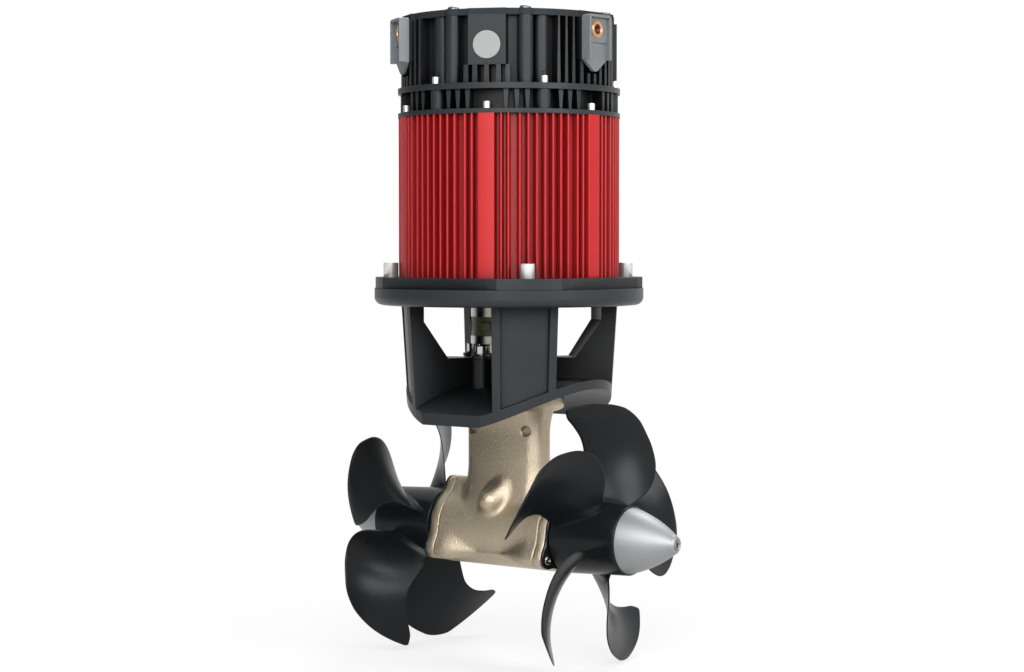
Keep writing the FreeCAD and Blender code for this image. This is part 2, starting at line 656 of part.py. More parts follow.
def gear_leg():
    """Cast bronze leg: curved flange, strut and the housing for the bevel gears."""
    disc = cylinder(LEG_FLANGE_R, LEG_TOP_R / 2, LEG_TOP_R)
    shell = tube(LEG_TOP_R, LEG_TOP_R - LEG_FLANGE_THICKNESS, -LEG_FLANGE_R, LEG_FLANGE_R)
    flange = shell.common(disc)
    neck_z = LEG_TOP_R - STRUT_FLARE_DROP
    strut = Part.Face(strut_wire(0, 0)).extrude(V(0, 0, neck_z))
    rise = LEG_TOP_R - LEG_FLANGE_THICKNESS + 1 - neck_z
    levels = [(STRUT_FLARE * grow, neck_z + rise * share) for grow, share in STRUT_FLARE_LINE]
    flare = Part.makeLoft([strut_wire(g, z) for g, z in levels], True)
    cover = bar(LEG_TOP_R - LEG_FLANGE_THICKNESS / 2, -LEG_FLANGE_R, LEG_FLANGE_R)
    flare = flare.common(cover)
    foot_levels = [(STRUT_FLARE * grow, HOUSING_R * share) for grow, share in STRUT_FOOT_LINE]
    foot = Part.makeLoft([strut_wire(g, z) for g, z in foot_levels], True)
    housing = bar(HOUSING_R, -HOUSING_HALF_LENGTH, HOUSING_HALF_LENGTH)
    end = lobed_section(HOUSING_HALF_LENGTH - LOBE_LENGTH, LOBE_LENGTH)
    body = fused(flange, [strut, flare, foot, housing, end, mirrored(end), rounded_boss()])
    cuts = [bar(CHAMBER_R, -HOUSING_HALF_LENGTH - 1, HOUSING_HALF_LENGTH + 1)]
    bottom, outer, _, width = LOWER_LEG_BEARING
    cuts.append(cylinder(INPUT_SHAFT_R + SHAFT_WAY_GAP, SHAFT_WAY_BOTTOM, LEG_TOP_R))
    cuts.append(cylinder(outer, SHAFT_WAY_BOTTOM, bottom + width - SHAFT_WAY_BOTTOM))
    cuts.append(cylinder(UPPER_LEG_BEARING[1], UPPER_LEG_BEARING[0], LEG_TOP_R))
    for sign in (-1, 1):
        start = V(sign * BLIND_HOLE_X, -STRUT_HALF_WIDTH - STRUT_FLARE, LEG_TOP_R - BLIND_HOLE_DROP)
        depth = STRUT_FLARE + BLIND_HOLE_DEPTH
        cuts.append(Part.makeCylinder(BLIND_HOLE_R, depth, start, V(0, 1, 0)))
        for y, z in lobe_centres():
            hole = bar(CAP_SCREW_R + SCREW_FIT, 0, CAP_SCREW_LENGTH)
            hole.translate(V(HOUSING_HALF_LENGTH - CAP_SCREW_HOLE_DEPTH, y, z))
            cuts.append(hole if sign > 0 else mirrored(hole))
    tap = post(LEG_BOLT_R + SCREW_FIT, LEG_BOLT_CIRCLE_R, 0, LEG_TOP_R - LEG_BOLT_REACH - 1, LEG_TOP_R)
    cuts += around(tap, ARM_COUNT)
    for cutter in cuts:
        body = body.cut(cutter)
    return body


def leg_spacer():
    """Sleeve that keeps the upper leg bearing down in its seat, with the seal inside it."""
    bottom, outer, _, width = UPPER_LEG_BEARING
    return ring(outer, INPUT_SEAL_R, bottom + width, INPUT_SEAL_GAP + INPUT_SEAL_WIDTH)


def input_seal():
    """Shaft seal above the upper leg bearing."""
    bottom, _, bore, width = UPPER_LEG_BEARING
    return ring(INPUT_SEAL_R, bore + RUNNING_FIT, bottom + width + INPUT_SEAL_GAP, INPUT_SEAL_WIDTH)


def end_cap():
    """Bronze cap that closes the housing and seats the propeller shaft's bearing."""
    cap = lobed_section(HOUSING_HALF_LENGTH, CAP_THICKNESS)
    spigot = bar(CHAMBER_R - RUNNING_FIT, HOUSING_HALF_LENGTH - CAP_SPIGOT_LENGTH, HOUSING_HALF_LENGTH + 1)
    cap = fused(cap, [spigot])
    cap = cap.cut(bar(PROP_SEAL_R, HOUSING_HALF_LENGTH - CAP_SPIGOT_LENGTH - 1, CAP_END + 1))
    for y, z in lobe_centres():
        hole = bar(CAP_SCREW_R + SCREW_FIT, HOUSING_HALF_LENGTH - 1, CAP_END + 1)
        hole.translate(V(0, y, z))
        cap = cap.cut(hole)
    return cap


def seal_plate():
    """Thin black plate over the cap that holds the shaft seal in."""
    plate = lobed_section(CAP_END, SEAL_PLATE_THICKNESS)
    plate = plate.cut(bar(PROP_SHAFT_R + SEAL_PLATE_BORE_GAP, CAP_END - 1, PLATE_END + 1))
    for y, z in lobe_centres():
        hole = bar(CAP_SCREW_R + SCREW_FIT, CAP_END - 1, PLATE_END + 1)
        hole.translate(V(0, y, z))
        plate = plate.cut(hole)
    return plate


def cap_screws():
    """Three button-head screws through plate and cap at each end."""
    screws = []
    for y, z in lobe_centres():
        shank = bar(CAP_SCREW_R, PLATE_END - CAP_SCREW_LENGTH, PLATE_END)
        head = Part.makeCone(CAP_SCREW_HEAD_R, CAP_SCREW_HEAD_R * 0.6, CAP_SCREW_HEAD_H,
                             V(PLATE_END, 0, 0), OUT)
        top = PLATE_END + CAP_SCREW_HEAD_H
        corners = [V(top - CAP_SCREW_HEAD_H * 0.6, 0, 0) + V(0, p.x, p.y)
                   for p in (at_angle(CAP_SCREW_HEAD_R * 0.38, 60 * k) for k in range(6))]
        socket = polygon_face(corners).extrude(V(CAP_SCREW_HEAD_H, 0, 0))
        screw = head.fuse(shank).removeSplitter().cut(socket)
        screw.translate(V(0, y, z))
        screws.append(screw)
    return screws + [mirrored(s) for s in screws]


# Bevel gears, made about +Z with the pitch cones' common point at the origin


def bevel_gear(teeth, mate_teeth, phase):
    """Straight bevel gear; teeth shrink towards the common point of the cones."""
    radius = GEAR_PITCH_R * teeth / GEAR_TEETH
    depth = GEAR_PITCH_R * mate_teeth / GEAR_TEETH
    cone_length = math.hypot(radius, depth)
    module = 2 * radius / teeth
    slope_r = radius / cone_length
    slope_z = depth / cone_length
    pitch_angle = 2 * math.pi / teeth
    inner_share = 1 - GEAR_FACE / cone_length

    def offset(height):
        """Radius and height at a distance from the pitch cone, square to it."""
        return radius + height * slope_z, depth - height * slope_r

    def tooth_wire(share):
        """Tooth outline at the outer end, scaled towards the common point."""
        corners = []
        for height, fill in ((-TOOTH_DEDENDUM * module, TOOTH_FILL * 1.25),
                             (TOOTH_ADDENDUM * module, TOOTH_FILL * 0.62)):
            r, z = offset(height)
            corners.append((r, z, fill * pitch_angle / 2))
        root, tip = corners
        points = []
        for (r, z, half), sign in ((root, -1), (tip, -1), (tip, 1), (root, 1)):
            points.append(V(r * math.cos(half), sign * r * math.sin(half), z) * share)
        return Part.makePolygon(points + [points[0]])

    tooth = Part.makeLoft([tooth_wire(1.0), tooth_wire(inner_share)], True, True)
    root_r, root_z = offset(-TOOTH_DEDENDUM * module * 0.9)
    back_z = root_z + GEAR_BACK
    profile = [V(0, 0, root_z * inner_share), V(root_r * inner_share, 0, root_z * inner_share),
               V(root_r, 0, root_z), V(root_r, 0, root_z + GEAR_RIM),
               V(min(GEAR_HUB_R, root_r), 0, back_z), V(0, 0, back_z)]
    blank = polygon_face(profile).revolve(ORIGIN, UP, 360)
    return fused(blank, around(tooth, teeth, phase * 360.0 / teeth))


def bevel_pinion():
    """Small gear on the input shaft's nose."""
    gear = bevel_gear(PINION_TEETH, GEAR_TEETH, 0.0)
    top = gear.BoundBox.ZMax
    hub = cylinder(INPUT_SHAFT_R, top - 1, PINION_SHOULDER_Z - top + 1)
    nose_end = gear.BoundBox.ZMin + PINION_BORE_FLOOR
    return fused(gear, [hub]).cut(cylinder(INPUT_NOSE_R, nose_end, PINION_SHOULDER_Z))


def shaft_gear(phase):
    """Large gear on a propeller shaft, facing the pinion."""
    gear = bevel_gear(GEAR_TEETH, PINION_TEETH, phase)
    gear.rotate(ORIGIN, V(0, 1, 0), 90)
    return gear.cut(bar(PROP_SHAFT_R, 0, 2 * GEAR_PITCH_R))


# Shafts


def input_shaft():
    """Vertical shaft from the coupling down to the pinion."""
    nose_bottom = bevel_pinion_nose() + INPUT_NOSE_GAP
    nose = cylinder(INPUT_NOSE_R, nose_bottom, PINION_SHOULDER_Z - nose_bottom)
    return nose.fuse(cylinder(INPUT_SHAFT_R, PINION_SHOULDER_Z, INPUT_SHAFT_TOP_Z - PINION_SHOULDER_Z))


def bevel_pinion_nose():
    """Lowest point of the bore in the pinion."""
    return bevel_gear(PINION_TEETH, GEAR_TEETH, 0.0).BoundBox.ZMin + PINION_BORE_FLOOR


def propeller_shaft():
    """Horizontal shaft that carries gear, propeller and anode."""
    shaft = bar(PROP_SHAFT_R, PROP_SHAFT_START, HUB_END)
    tap = bar(ANODE_SCREW_R + SCREW_FIT, HUB_END - ANODE_SCREW_GRIP - ANODE_TAP_GAP, HUB_END + 1)
    return shaft.cut(tap).cut(drive_pin(SCREW_FIT))


def drive_pin(grow=0.0):
    """Cross pin that turns the propeller, and shears if a blade jams."""
    start = V(PIN_X, -PIN_HALF_LENGTH - grow, 0)
    return Part.makeCylinder(PIN_R + grow, 2 * (PIN_HALF_LENGTH + grow), start, V(0, 1, 0))


def retaining_collar():
    """Collar that keeps the bearing against the end cap's spigot."""
    return tube(CHAMBER_R - RUNNING_FIT, PROP_BEARING_R, PROP_BEARING_START,
                PROP_BEARING_START + PROP_BEARING_WIDTH)


def propeller_bearing():
    """Ball bearing on a propeller shaft."""
    body = bearing((PROP_BEARING_START, PROP_BEARING_R, PROP_SHAFT_R, PROP_BEARING_WIDTH))
    body.rotate(ORIGIN, V(0, 1, 0), 90)
    return fused(body, [retaining_collar()])


def shaft_seal():
    """Lip seal in the end cap."""
    return tube(PROP_SEAL_R, PROP_SHAFT_R + RUNNING_FIT, HOUSING_HALF_LENGTH - CAP_SPIGOT_LENGTH, CAP_END)


# Propeller


def blade_point(share, angle, lift):
    """Point of a blade: share of the way out, angle from its reference line, lift along the shaft."""
    pitch = ROOT_PITCH + (TIP_PITCH - ROOT_PITCH) * share
    reference = ROOT_ANGLE + (TIP_ANGLE - ROOT_ANGLE) * share
    radius = BLADE_ROOT_R + (BLADE_TIP_R - BLADE_ROOT_R) * share
    a = math.radians(reference + angle)
    x = HUB_START + BLADE_OFFSET + BLADE_RAKE * share ** 2 - pitch * angle / 360.0 + lift
    return V(x, -radius * math.sin(a), radius * math.cos(a))


def blade_thickness(share):
    """Greatest thickness of the blade on its way from root to tip."""
    return BLADE_ROOT_THICKNESS + (BLADE_TIP_THICKNESS - BLADE_ROOT_THICKNESS) * share


def blade_face(side):
    """Front or back surface through a grid of points on the outline's stations."""
    rows = []
    for share, inboard, outboard in BLADE_OUTLINE:
        row = []
        for k in range(CHORD_STEPS + 1):
            s = k / CHORD_STEPS
            angle = inboard + (outboard - inboard) * s
            fullness = math.sin(math.pi * s) ** BLADE_FULLNESS if 0 < k < CHORD_STEPS else 0.0
            extra = (blade_thickness(share) - BLADE_EDGE_THICKNESS) * fullness
            half = (BLADE_EDGE_THICKNESS + extra) / 2
            camber = BLADE_CAMBER * math.sin(math.pi * s)
            row.append(blade_point(share, angle, camber + side * half))
        rows.append(row)
    surface = Part.BSplineSurface()
    surface.interpolate(rows)
    return surface


def blade():
    """One blade, closed by narrow strips round its edge."""
    front = blade_face(1)
    back = blade_face(-1)
    faces = [front.toShape(), back.toShape()]
    last_u = front.getUKnots()[-1]
    last_v = front.getVKnots()[-1]
    for low, high in ((front.uIso(0), back.uIso(0)), (front.uIso(last_u), back.uIso(last_u)),
                      (front.vIso(0), back.vIso(0)), (front.vIso(last_v), back.vIso(last_v))):
        faces.append(Part.makeRuledSurface(low.toShape(), high.toShape()))
    shell = Part.makeShell(faces)
    shell.sewShape()
    solid = Part.makeSolid(shell)
    if solid.Volume < 0:
        solid.reverse()
    return solid


def propeller():
    """Hub with five swept blades, bored for shaft and pin."""
    hub = Part.makeCone(HUB_INNER_R, HUB_OUTER_R, HUB_END - HUB_START, V(HUB_START, 0, 0), OUT)
    body = hub.multiFuse(around(blade(), BLADE_COUNT, 0, OUT))
    return body.cut(bar(PROP_SHAFT_R, HUB_START - 1, HUB_END + 1)).cut(drive_pin(SCREW_FIT))


def anode_cone():
    """Sacrificial cone that fairs the hub's end."""
    bulge = (CONE_BASE_R + CONE_NOSE_R) / 2 + CONE_BULGE
    middle = (HUB_END + CONE_TIP_X - CONE_NOSE_R * 0.6) / 2
    side_end = V(CONE_TIP_X - CONE_NOSE_R * 0.45, CONE_NOSE_R + CONE_EDGE_R, 0)
    side = Part.Arc(V(HUB_END, CONE_BASE_R, 0), V(middle, bulge, 0), side_end).toShape()
    corner = Part.Arc(side_end, V(CONE_TIP_X - CONE_NOSE_R * 0.12, CONE_NOSE_R, 0),
                      V(CONE_TIP_X, ANODE_SCREW_HEAD_R + CONE_SINK_RIM, 0)).toShape()
    rest = Part.makePolygon([V(CONE_TIP_X, ANODE_SCREW_HEAD_R + CONE_SINK_RIM, 0),
                             V(CONE_TIP_X, 0, 0), V(HUB_END, 0, 0), V(HUB_END, CONE_BASE_R, 0)])
    cone = Part.Face(Part.Wire([side, corner] + rest.Edges)).revolve(ORIGIN, OUT, 360)
    cone = cone.cut(bar(ANODE_SCREW_R + SCREW_FIT, HUB_END - 1, CONE_TIP_X + 1))
    sink = Part.makeCone(ANODE_SCREW_R + SCREW_FIT, ANODE_SCREW_HEAD_R + HEAD_FIT,
                         ANODE_SCREW_HEAD_R - ANODE_SCREW_R,
                         V(CONE_TIP_X - ANODE_SCREW_HEAD_R + ANODE_SCREW_R, 0, 0), OUT)
    return cone.cut(sink)


def anode_screw():
    """Countersunk screw that holds the cone on the shaft's end."""
    depth = ANODE_SCREW_HEAD_R - ANODE_SCREW_R
    shank = bar(ANODE_SCREW_R, HUB_END - ANODE_SCREW_GRIP, CONE_TIP_X - depth)
    head = Part.makeCone(ANODE_SCREW_R, ANODE_SCREW_HEAD_R, depth, V(CONE_TIP_X - depth, 0, 0), OUT)
    corners = [V(CONE_TIP_X - depth * 0.8, p.x, p.y)
               for p in (at_angle(ANODE_SCREW_HEAD_R * 0.42, 60 * k) for k in range(6))]
    return shank.fuse(head).removeSplitter().cut(polygon_face(corners).extrude(V(depth, 0, 0)))


# Shaft coupling


def sector(inner, outer, bottom, height, centre, half_angle):
    """Part of an upright ring between two angles."""
    profile = [V(inner, 0, bottom), V(outer, 0, bottom), V(outer, 0, bottom + height),
               V(inner, 0, bottom + height)]
    return turned(polygon_face(profile).revolve(ORIGIN, UP, 2 * half_angle), centre - half_angle)


def jaws(bottom, height, start):
    """Jaws of one coupling half."""
    jaw = sector(JAW_INNER_R, JAW_OUTER_R, bottom, height, 0, JAW_HALF_ANGLE)
    return around(jaw, JAW_COUNT, start)


def lower_coupling_hub():
    """Coupling half on the input shaft, jaws up."""
    disc = cylinder(COUPLING_R, COUPLING_BOTTOM, LOWER_RING_H)
    neck = cylinder(COUPLING_NECK_R, COUPLING_BOTTOM - COUPLING_NECK_H, COUPLING_NECK_H)
    body = fused(disc, [neck] + jaws(SPIDER_BOTTOM - 1, SPIDER_H - JAW_TIP_GAP + 1, 0))
    return body.cut(cylinder(INPUT_SHAFT_R, 0, COUPLING_TOP))


def upper_coupling_hub():
    """Coupling half on the motor shaft, jaws down."""
    disc = cylinder(COUPLING_R, SPIDER_TOP, UPPER_RING_H)
    body = fused(disc, jaws(SPIDER_BOTTOM + JAW_TIP_GAP, SPIDER_H - JAW_TIP_GAP + 1, 180 / JAW_COUNT))
    return body.cut(cylinder(LOWER_MOTOR_BEARING[2], 0, COUPLING_TOP + 1))


def coupling_spider():
    """Elastomer star between the jaws, with a sleeve round them and a ridge over each arm."""
    star = cylinder(COUPLING_R - SPIDER_SETBACK, SPIDER_BOTTOM, SPIDER_H)
    gap = sector(JAW_INNER_R - JAW_FIT, JAW_OUTER_R + JAW_FIT, SPIDER_BOTTOM - 1, SPIDER_H + 2, 0,
                 JAW_HALF_ANGLE + JAW_SIDE_FIT)
    for cutter in around(gap, 2 * JAW_COUNT):
        star = star.cut(cutter)
    ridge = sector(JAW_OUTER_R + JAW_FIT, COUPLING_R + RIDGE_RISE, SPIDER_BOTTOM + RIDGE_MARGIN,
                   SPIDER_H - 2 * RIDGE_MARGIN, 0, RIDGE_HALF_ANGLE)
    star = fused(star, around(ridge, 2 * JAW_COUNT, 90 / JAW_COUNT))
    return star.cut(cylinder(LOWER_MOTOR_BEARING[2] + SPIDER_BORE_GAP, 0, COUPLING_TOP))


# Motor


def motor_flange():
    """Lobed lower end shield: bolts to the bracket and seats the lower bearing."""
    edges = []
    corner = at_angle(MOTOR_FLANGE_R, FIRST_ARM_ANGLE - MOTOR_LOBE_HALF_ANGLE)
    facet_r = MOTOR_FLANGE_R - MOTOR_FACET_STEP
    for k in range(ARM_COUNT):
        middle = FIRST_ARM_ANGLE + 360 / ARM_COUNT * k
        lobe_end = at_angle(MOTOR_FLANGE_R, middle + MOTOR_LOBE_HALF_ANGLE)
        edges.append(Part.Arc(corner, at_angle(MOTOR_FLANGE_R, middle), lobe_end).toShape())
        following = middle + 360 / ARM_COUNT
        facet_out = at_angle(facet_r, middle + MOTOR_FACET_HALF_ANGLE)
        facet_in = at_angle(facet_r, following - MOTOR_FACET_HALF_ANGLE)
        corner = at_angle(MOTOR_FLANGE_R, following - MOTOR_LOBE_HALF_ANGLE)
        edges += [Part.makeLine(lobe_end, facet_out), Part.makeLine(facet_out, facet_in),
                  Part.makeLine(facet_in, corner)]
    plate = Part.Face(Part.Wire(edges)).extrude(V(0, 0, MOTOR_FLANGE_THICKNESS))
    plate.translate(V(0, 0, MOTOR_FLANGE_BOTTOM))
    bottom, outer, bore, width = LOWER_MOTOR_BEARING
    spigot = cylinder(BRACKET_BORE_R - SCREW_FIT, MOTOR_FLANGE_BOTTOM - MOTOR_SPIGOT_DEPTH,
                      MOTOR_SPIGOT_DEPTH + 1)
    seat = cylinder(outer + BEARING_SEAT_WALL, FRAME_BOTTOM - 1, bottom + width - FRAME_BOTTOM + 1)
    register = cylinder(FRAME_BORE_R - SCREW_FIT, FRAME_BOTTOM - 1, MOTOR_REGISTER_H + 1)
    body = fused(plate, [spigot, seat, register])
    cuts = [cylinder(outer, bottom, width + 1), cylinder(outer - BEARING_LIP, 0, bottom + 1)]
    hole = post(FLANGE_SCREW_R + SCREW_FIT, FLANGE_SCREW_CIRCLE_R, 0, 0, LID_TOP)
    cuts += around(hole, ARM_COUNT, FIRST_ARM_ANGLE)
    for cutter in cuts:
        body = body.cut(cutter)
    return body


def flange_screws():
    """Four large cap screws that hold the motor on the bracket."""
    screw = socket_screw(FLANGE_SCREW_R, FLANGE_SCREW_HEAD_R, FLANGE_SCREW_HEAD_H, FRAME_BOTTOM,
                         BRACKET_FLANGE_BOTTOM + 1, FLANGE_SCREW_CIRCLE_R, 0)
    return around(screw, ARM_COUNT, FIRST_ARM_ANGLE)


def fin_outline(root, fins):
    """Closed outline of flat-topped fins on a round body: angle, half width and reach of each."""
    edges = []
    fins = sorted(fins)
    tips = []
    for angle, half, reach in fins:
        corners = []
        for sign in (-1, 1):
            base = math.degrees(math.asin(half / root))
            tip = math.degrees(math.asin(half / reach))
            corners.append((at_angle(root, angle + sign * base), at_angle(reach, angle + sign * tip),
                            angle + sign * base))
        tips.append(corners)
    for k, (left, right) in enumerate(tips):
        edges.append(Part.makeLine(left[0], left[1]))
        edges.append(Part.makeLine(left[1], right[1]))
        edges.append(Part.makeLine(right[1], right[0]))
        following = tips[(k + 1) % len(tips)][0]
        gap = (following[2] - right[2]) % 360
        middle = at_angle(root, right[2] + gap / 2)
        edges.append(Part.Arc(right[0], middle, following[0]).toShape())
    return Part.Wire(edges)


def motor_frame():
    """Extruded frame with wide ribs and rows of cooling fins."""
    fins = []
    bay = 360.0 / WIDE_RIB_COUNT
    for k in range(WIDE_RIB_COUNT):
        centre = WIDE_RIB_ANGLE + bay * k
        fins.append((centre, WIDE_RIB_HALF_WIDTH, FRAME_R))
        for step in FIN_STEPS:
            fins.append((centre + step, FIN_HALF_WIDTH, FRAME_R - FIN_SETBACK))
    body = Part.Face(fin_outline(FRAME_ROOT_R, fins)).extrude(V(0, 0, FRAME_HEIGHT))
    body.translate(V(0, 0, FRAME_BOTTOM))
    return body.cut(cylinder(FRAME_BORE_R, FRAME_BOTTOM - 1, FRAME_HEIGHT + 2))


def stator_core():
    """Laminated ring with winding slots."""
    core = ring(FRAME_BORE_R - SCREW_FIT, STATOR_INNER_R, STACK_BOTTOM, STACK_HEIGHT)
    for slot in winding_slots(0.0):
        core = core.cut(slot)
    return core


def winding_slots(shrink):
    """Blocks that fill the stator's slots."""
    depth = (FRAME_BORE_R - STATOR_INNER_R) * SLOT_DEPTH_SHARE
    half_angle = 180.0 / STATOR_SLOTS * SLOT_WIDTH_SHARE - shrink
    slot = sector(STATOR_INNER_R + SLOT_LIP + shrink, STATOR_INNER_R + SLOT_LIP + depth - shrink,
                  STACK_BOTTOM - 1, STACK_HEIGHT + 2, 0, half_angle)
    return around(slot, STATOR_SLOTS)


def stator_winding():
    """Copper winding: end turns above and below, joined through the slots."""
    depth = (FRAME_BORE_R - STATOR_INNER_R) * SLOT_DEPTH_SHARE
    inner = STATOR_INNER_R + SLOT_LIP + 1
    outer = STATOR_INNER_R + SLOT_LIP + depth - 1
    height = WINDING_OVERHANG - WINDING_GAP
    turns = [ring(outer, inner, STACK_BOTTOM - WINDING_OVERHANG, height),
             ring(outer, inner, STACK_BOTTOM + STACK_HEIGHT + WINDING_GAP, height)]
    return fused(turns[0], [turns[1]] + winding_slots(SLOT_FIT))


def rotor_core():
    """Laminated rotor on the motor shaft."""
    return ring(ROTOR_R, MOTOR_SHAFT_R, STACK_BOTTOM, STACK_HEIGHT)


def rotor_magnets():
    """Arc magnets round the rotor."""
    magnet = sector(ROTOR_R, ROTOR_R + MAGNET_THICKNESS, STACK_BOTTOM + MAGNET_SETBACK,
                    STACK_HEIGHT - 2 * MAGNET_SETBACK, 0, 180.0 / MAGNET_COUNT * MAGNET_WIDTH_SHARE)
    return around(magnet, MAGNET_COUNT)


def motor_shaft():
    """Stepped shaft from the coupling to the upper bearing."""
    low, _, low_bore, low_width = LOWER_MOTOR_BEARING
    high, _, high_bore, high_width = UPPER_MOTOR_BEARING
    start = SPIDER_TOP - MOTOR_SHAFT_GRIP
    journal = cylinder(low_bore, start, low + low_width - start)
    body = cylinder(MOTOR_SHAFT_R, low + low_width, high - low - low_width)
    tail = cylinder(high_bore, high, high_width + MOTOR_SHAFT_TAIL)
    return fused(journal, [body, tail])


# Upper end shield and electronics head


def end_shield():
    """Plate on the frame with a ribbed wall above it and the upper bearing's seat."""
    plate = cylinder(FRAME_R, FRAME_TOP, PLATE_THICKNESS)
    wall = cylinder(SHIELD_CORE_R, FRAME_TOP, RING_BOTTOM - FRAME_TOP)
    ribs = []
    turn = 360 / HEAD_SCREW_COUNT
    foot_width, top_width = SHIELD_RIB_WIDTHS
    for k in range(HEAD_SCREW_COUNT):
        column = post(COLUMN_R, SHIELD_COLUMN_CENTRE_R, 0, FRAME_TOP, RING_BOTTOM - FRAME_TOP)
        web = block(SHIELD_CORE_R - FIN_SINK, SHIELD_COLUMN_CENTRE_R, -COLUMN_R, COLUMN_R, FRAME_TOP,
                    RING_BOTTOM)
        ribs.append(turned(web, RING_SCREW_ANGLE + turn * k))
        ribs.append(turned(column, RING_SCREW_ANGLE + turn * k))
        for step in SHIELD_RIB_STEPS:
            ribs.append(radial_fin(PLATE_SCREW_ANGLE + turn * k + step, SHIELD_CORE_R - FIN_SINK,
                                   SHIELD_RIB_R, foot_width, top_width, PLATE_TOP - SEAT_SINK,
                                   RING_BOTTOM))
    register = cylinder(FRAME_BORE_R - SCREW_FIT, FRAME_TOP - SHIELD_REGISTER_H, SHIELD_REGISTER_H + 1)
    body = fused(plate, [wall, register] + ribs)
    bottom, outer, bore, width = UPPER_MOTOR_BEARING
    relief_bottom = FRAME_TOP - SHIELD_REGISTER_H - 1
    cuts = [cylinder(outer, 0, bottom + width),
            cylinder(bore + SHAFT_OPENING_GAP, bottom + width - 1, RING_BOTTOM),
            ring(SHIELD_CORE_R - SHIELD_WALL, outer + SHIELD_RELIEF_GAP, relief_bottom,
                 FRAME_TOP + SHIELD_RELIEF_TOP - relief_bottom)]
    for k in range(HEAD_SCREW_COUNT):
        place = at_angle(HEAD_SCREW_CIRCLE_R, PLATE_SCREW_ANGLE + turn * k)
        cuts.append(post(HEAD_SCREW_R + SCREW_FIT, place.x, place.y, FRAME_TOP - 1, PLATE_THICKNESS + 2))
        place = at_angle(HEAD_SCREW_CIRCLE_R, RING_SCREW_ANGLE + turn * k)
        cuts.append(post(HEAD_SCREW_R + SCREW_FIT, place.x, place.y, PLATE_TOP, SHIELD_HEIGHT + 1))
    for cutter in cuts:
        body = body.cut(cutter)
    return body


def head_screws(seat, start, tip):
    """Six small cap screws on the rim."""
    screw = socket_screw(HEAD_SCREW_R, HEAD_SCREW_HEAD_R, HEAD_SCREW_HEAD_H, seat, tip,
                         HEAD_SCREW_CIRCLE_R, 0)
    return around(screw, HEAD_SCREW_COUNT, start)


def flat_pad(angle, half_width, distance, bottom, top):
    """Flat-faced pad that stands out of the round head."""
    pad = block(HEAD_CORE_R - PAD_SINK, distance, -half_width, half_width, bottom, top)
    return turned(pad, angle)


def fin_row(middle, steps, widths, top):
    """Row of upright fins on the head, from the ring up."""
    foot_width, top_width = widths
    return [radial_fin(middle + step, HEAD_CORE_R - FIN_SINK, HEAD_FIN_R, foot_width, top_width,
                       RING_TOP - SEAT_SINK, top) for step in steps]


def pointed_plate(start, thickness, top):
    """Upright plate whose lower end comes to a rounded point, as pad and shroud have it."""
    w = SHROUD_HALF_WIDTH
    outline = [(-w, top), (w, top), (w, SHROUD_BOTTOM), (0, SHROUD_POINT), (-w, SHROUD_BOTTOM)]
    plate = polygon_face([V(start, y, z) for y, z in outline]).extrude(V(thickness, 0, 0))
    point = [e for e in plate.Edges if e.CenterOfMass.z < SHROUD_POINT + 0.01]
    return plate.makeFillet(SHROUD_POINT_R, point)


def head_housing():
    """Finned head: ring, columns for the lid screws, panel, terminal pads and fins."""
    height = HEAD_TOP - RING_BOTTOM
    core = cylinder(HEAD_CORE_R, RING_BOTTOM, height)
    pieces = [cylinder(RING_R, RING_BOTTOM, RING_THICKNESS)]
    column = post(COLUMN_R, RING_COLUMN_CENTRE_R, 0, RING_BOTTOM, height)
    pieces += around(column, HEAD_SCREW_COUNT, RING_SCREW_ANGLE)
    for angle in LID_SCREW_ANGLES:
        place = at_angle(LID_COLUMN_CENTRE_R, angle)
        pieces.append(post(COLUMN_R, place.x, place.y, RING_BOTTOM, height))
    pieces.append(flat_pad(PANEL_ANGLE, PANEL_HALF_WIDTH, PANEL_DISTANCE, PANEL_BOTTOM, HEAD_TOP))
    pieces += fin_row(PANEL_ANGLE, PANEL_RIB_STEPS, PANEL_RIB_WIDTHS, PANEL_BOTTOM)
    start = HEAD_CORE_R - PAD_SINK
    for angle in TERMINAL_ANGLES:
        pieces.append(turned(pointed_plate(start, SHROUD_BACK - start, HEAD_TOP), angle))
        pieces += fin_row(angle, TERMINAL_RIB_STEPS, TERMINAL_RIB_WIDTHS, SHROUD_POINT)
        pieces += fin_row(angle, TERMINAL_SIDE_STEPS, TERMINAL_RIB_WIDTHS, SHROUD_BOTTOM)
        pieces += fin_row(angle, SIDE_FIN_STEPS, TALL_FIN_WIDTHS, HEAD_TOP)
    for angle in PLAIN_SECTOR_ANGLES:
        pieces += fin_row(angle, PLAIN_FIN_STEPS, TALL_FIN_WIDTHS, HEAD_TOP)
    body = fused(core, pieces)
    body = body.cut(cylinder(HEAD_CORE_R - HEAD_WALL, RING_TOP, HEAD_TOP))
    shaft_way = UPPER_MOTOR_BEARING[2] + SHAFT_OPENING_GAP
    body = body.cut(cylinder(shaft_way, RING_BOTTOM - 1, RING_THICKNESS + 2))
    return drill_head(body)


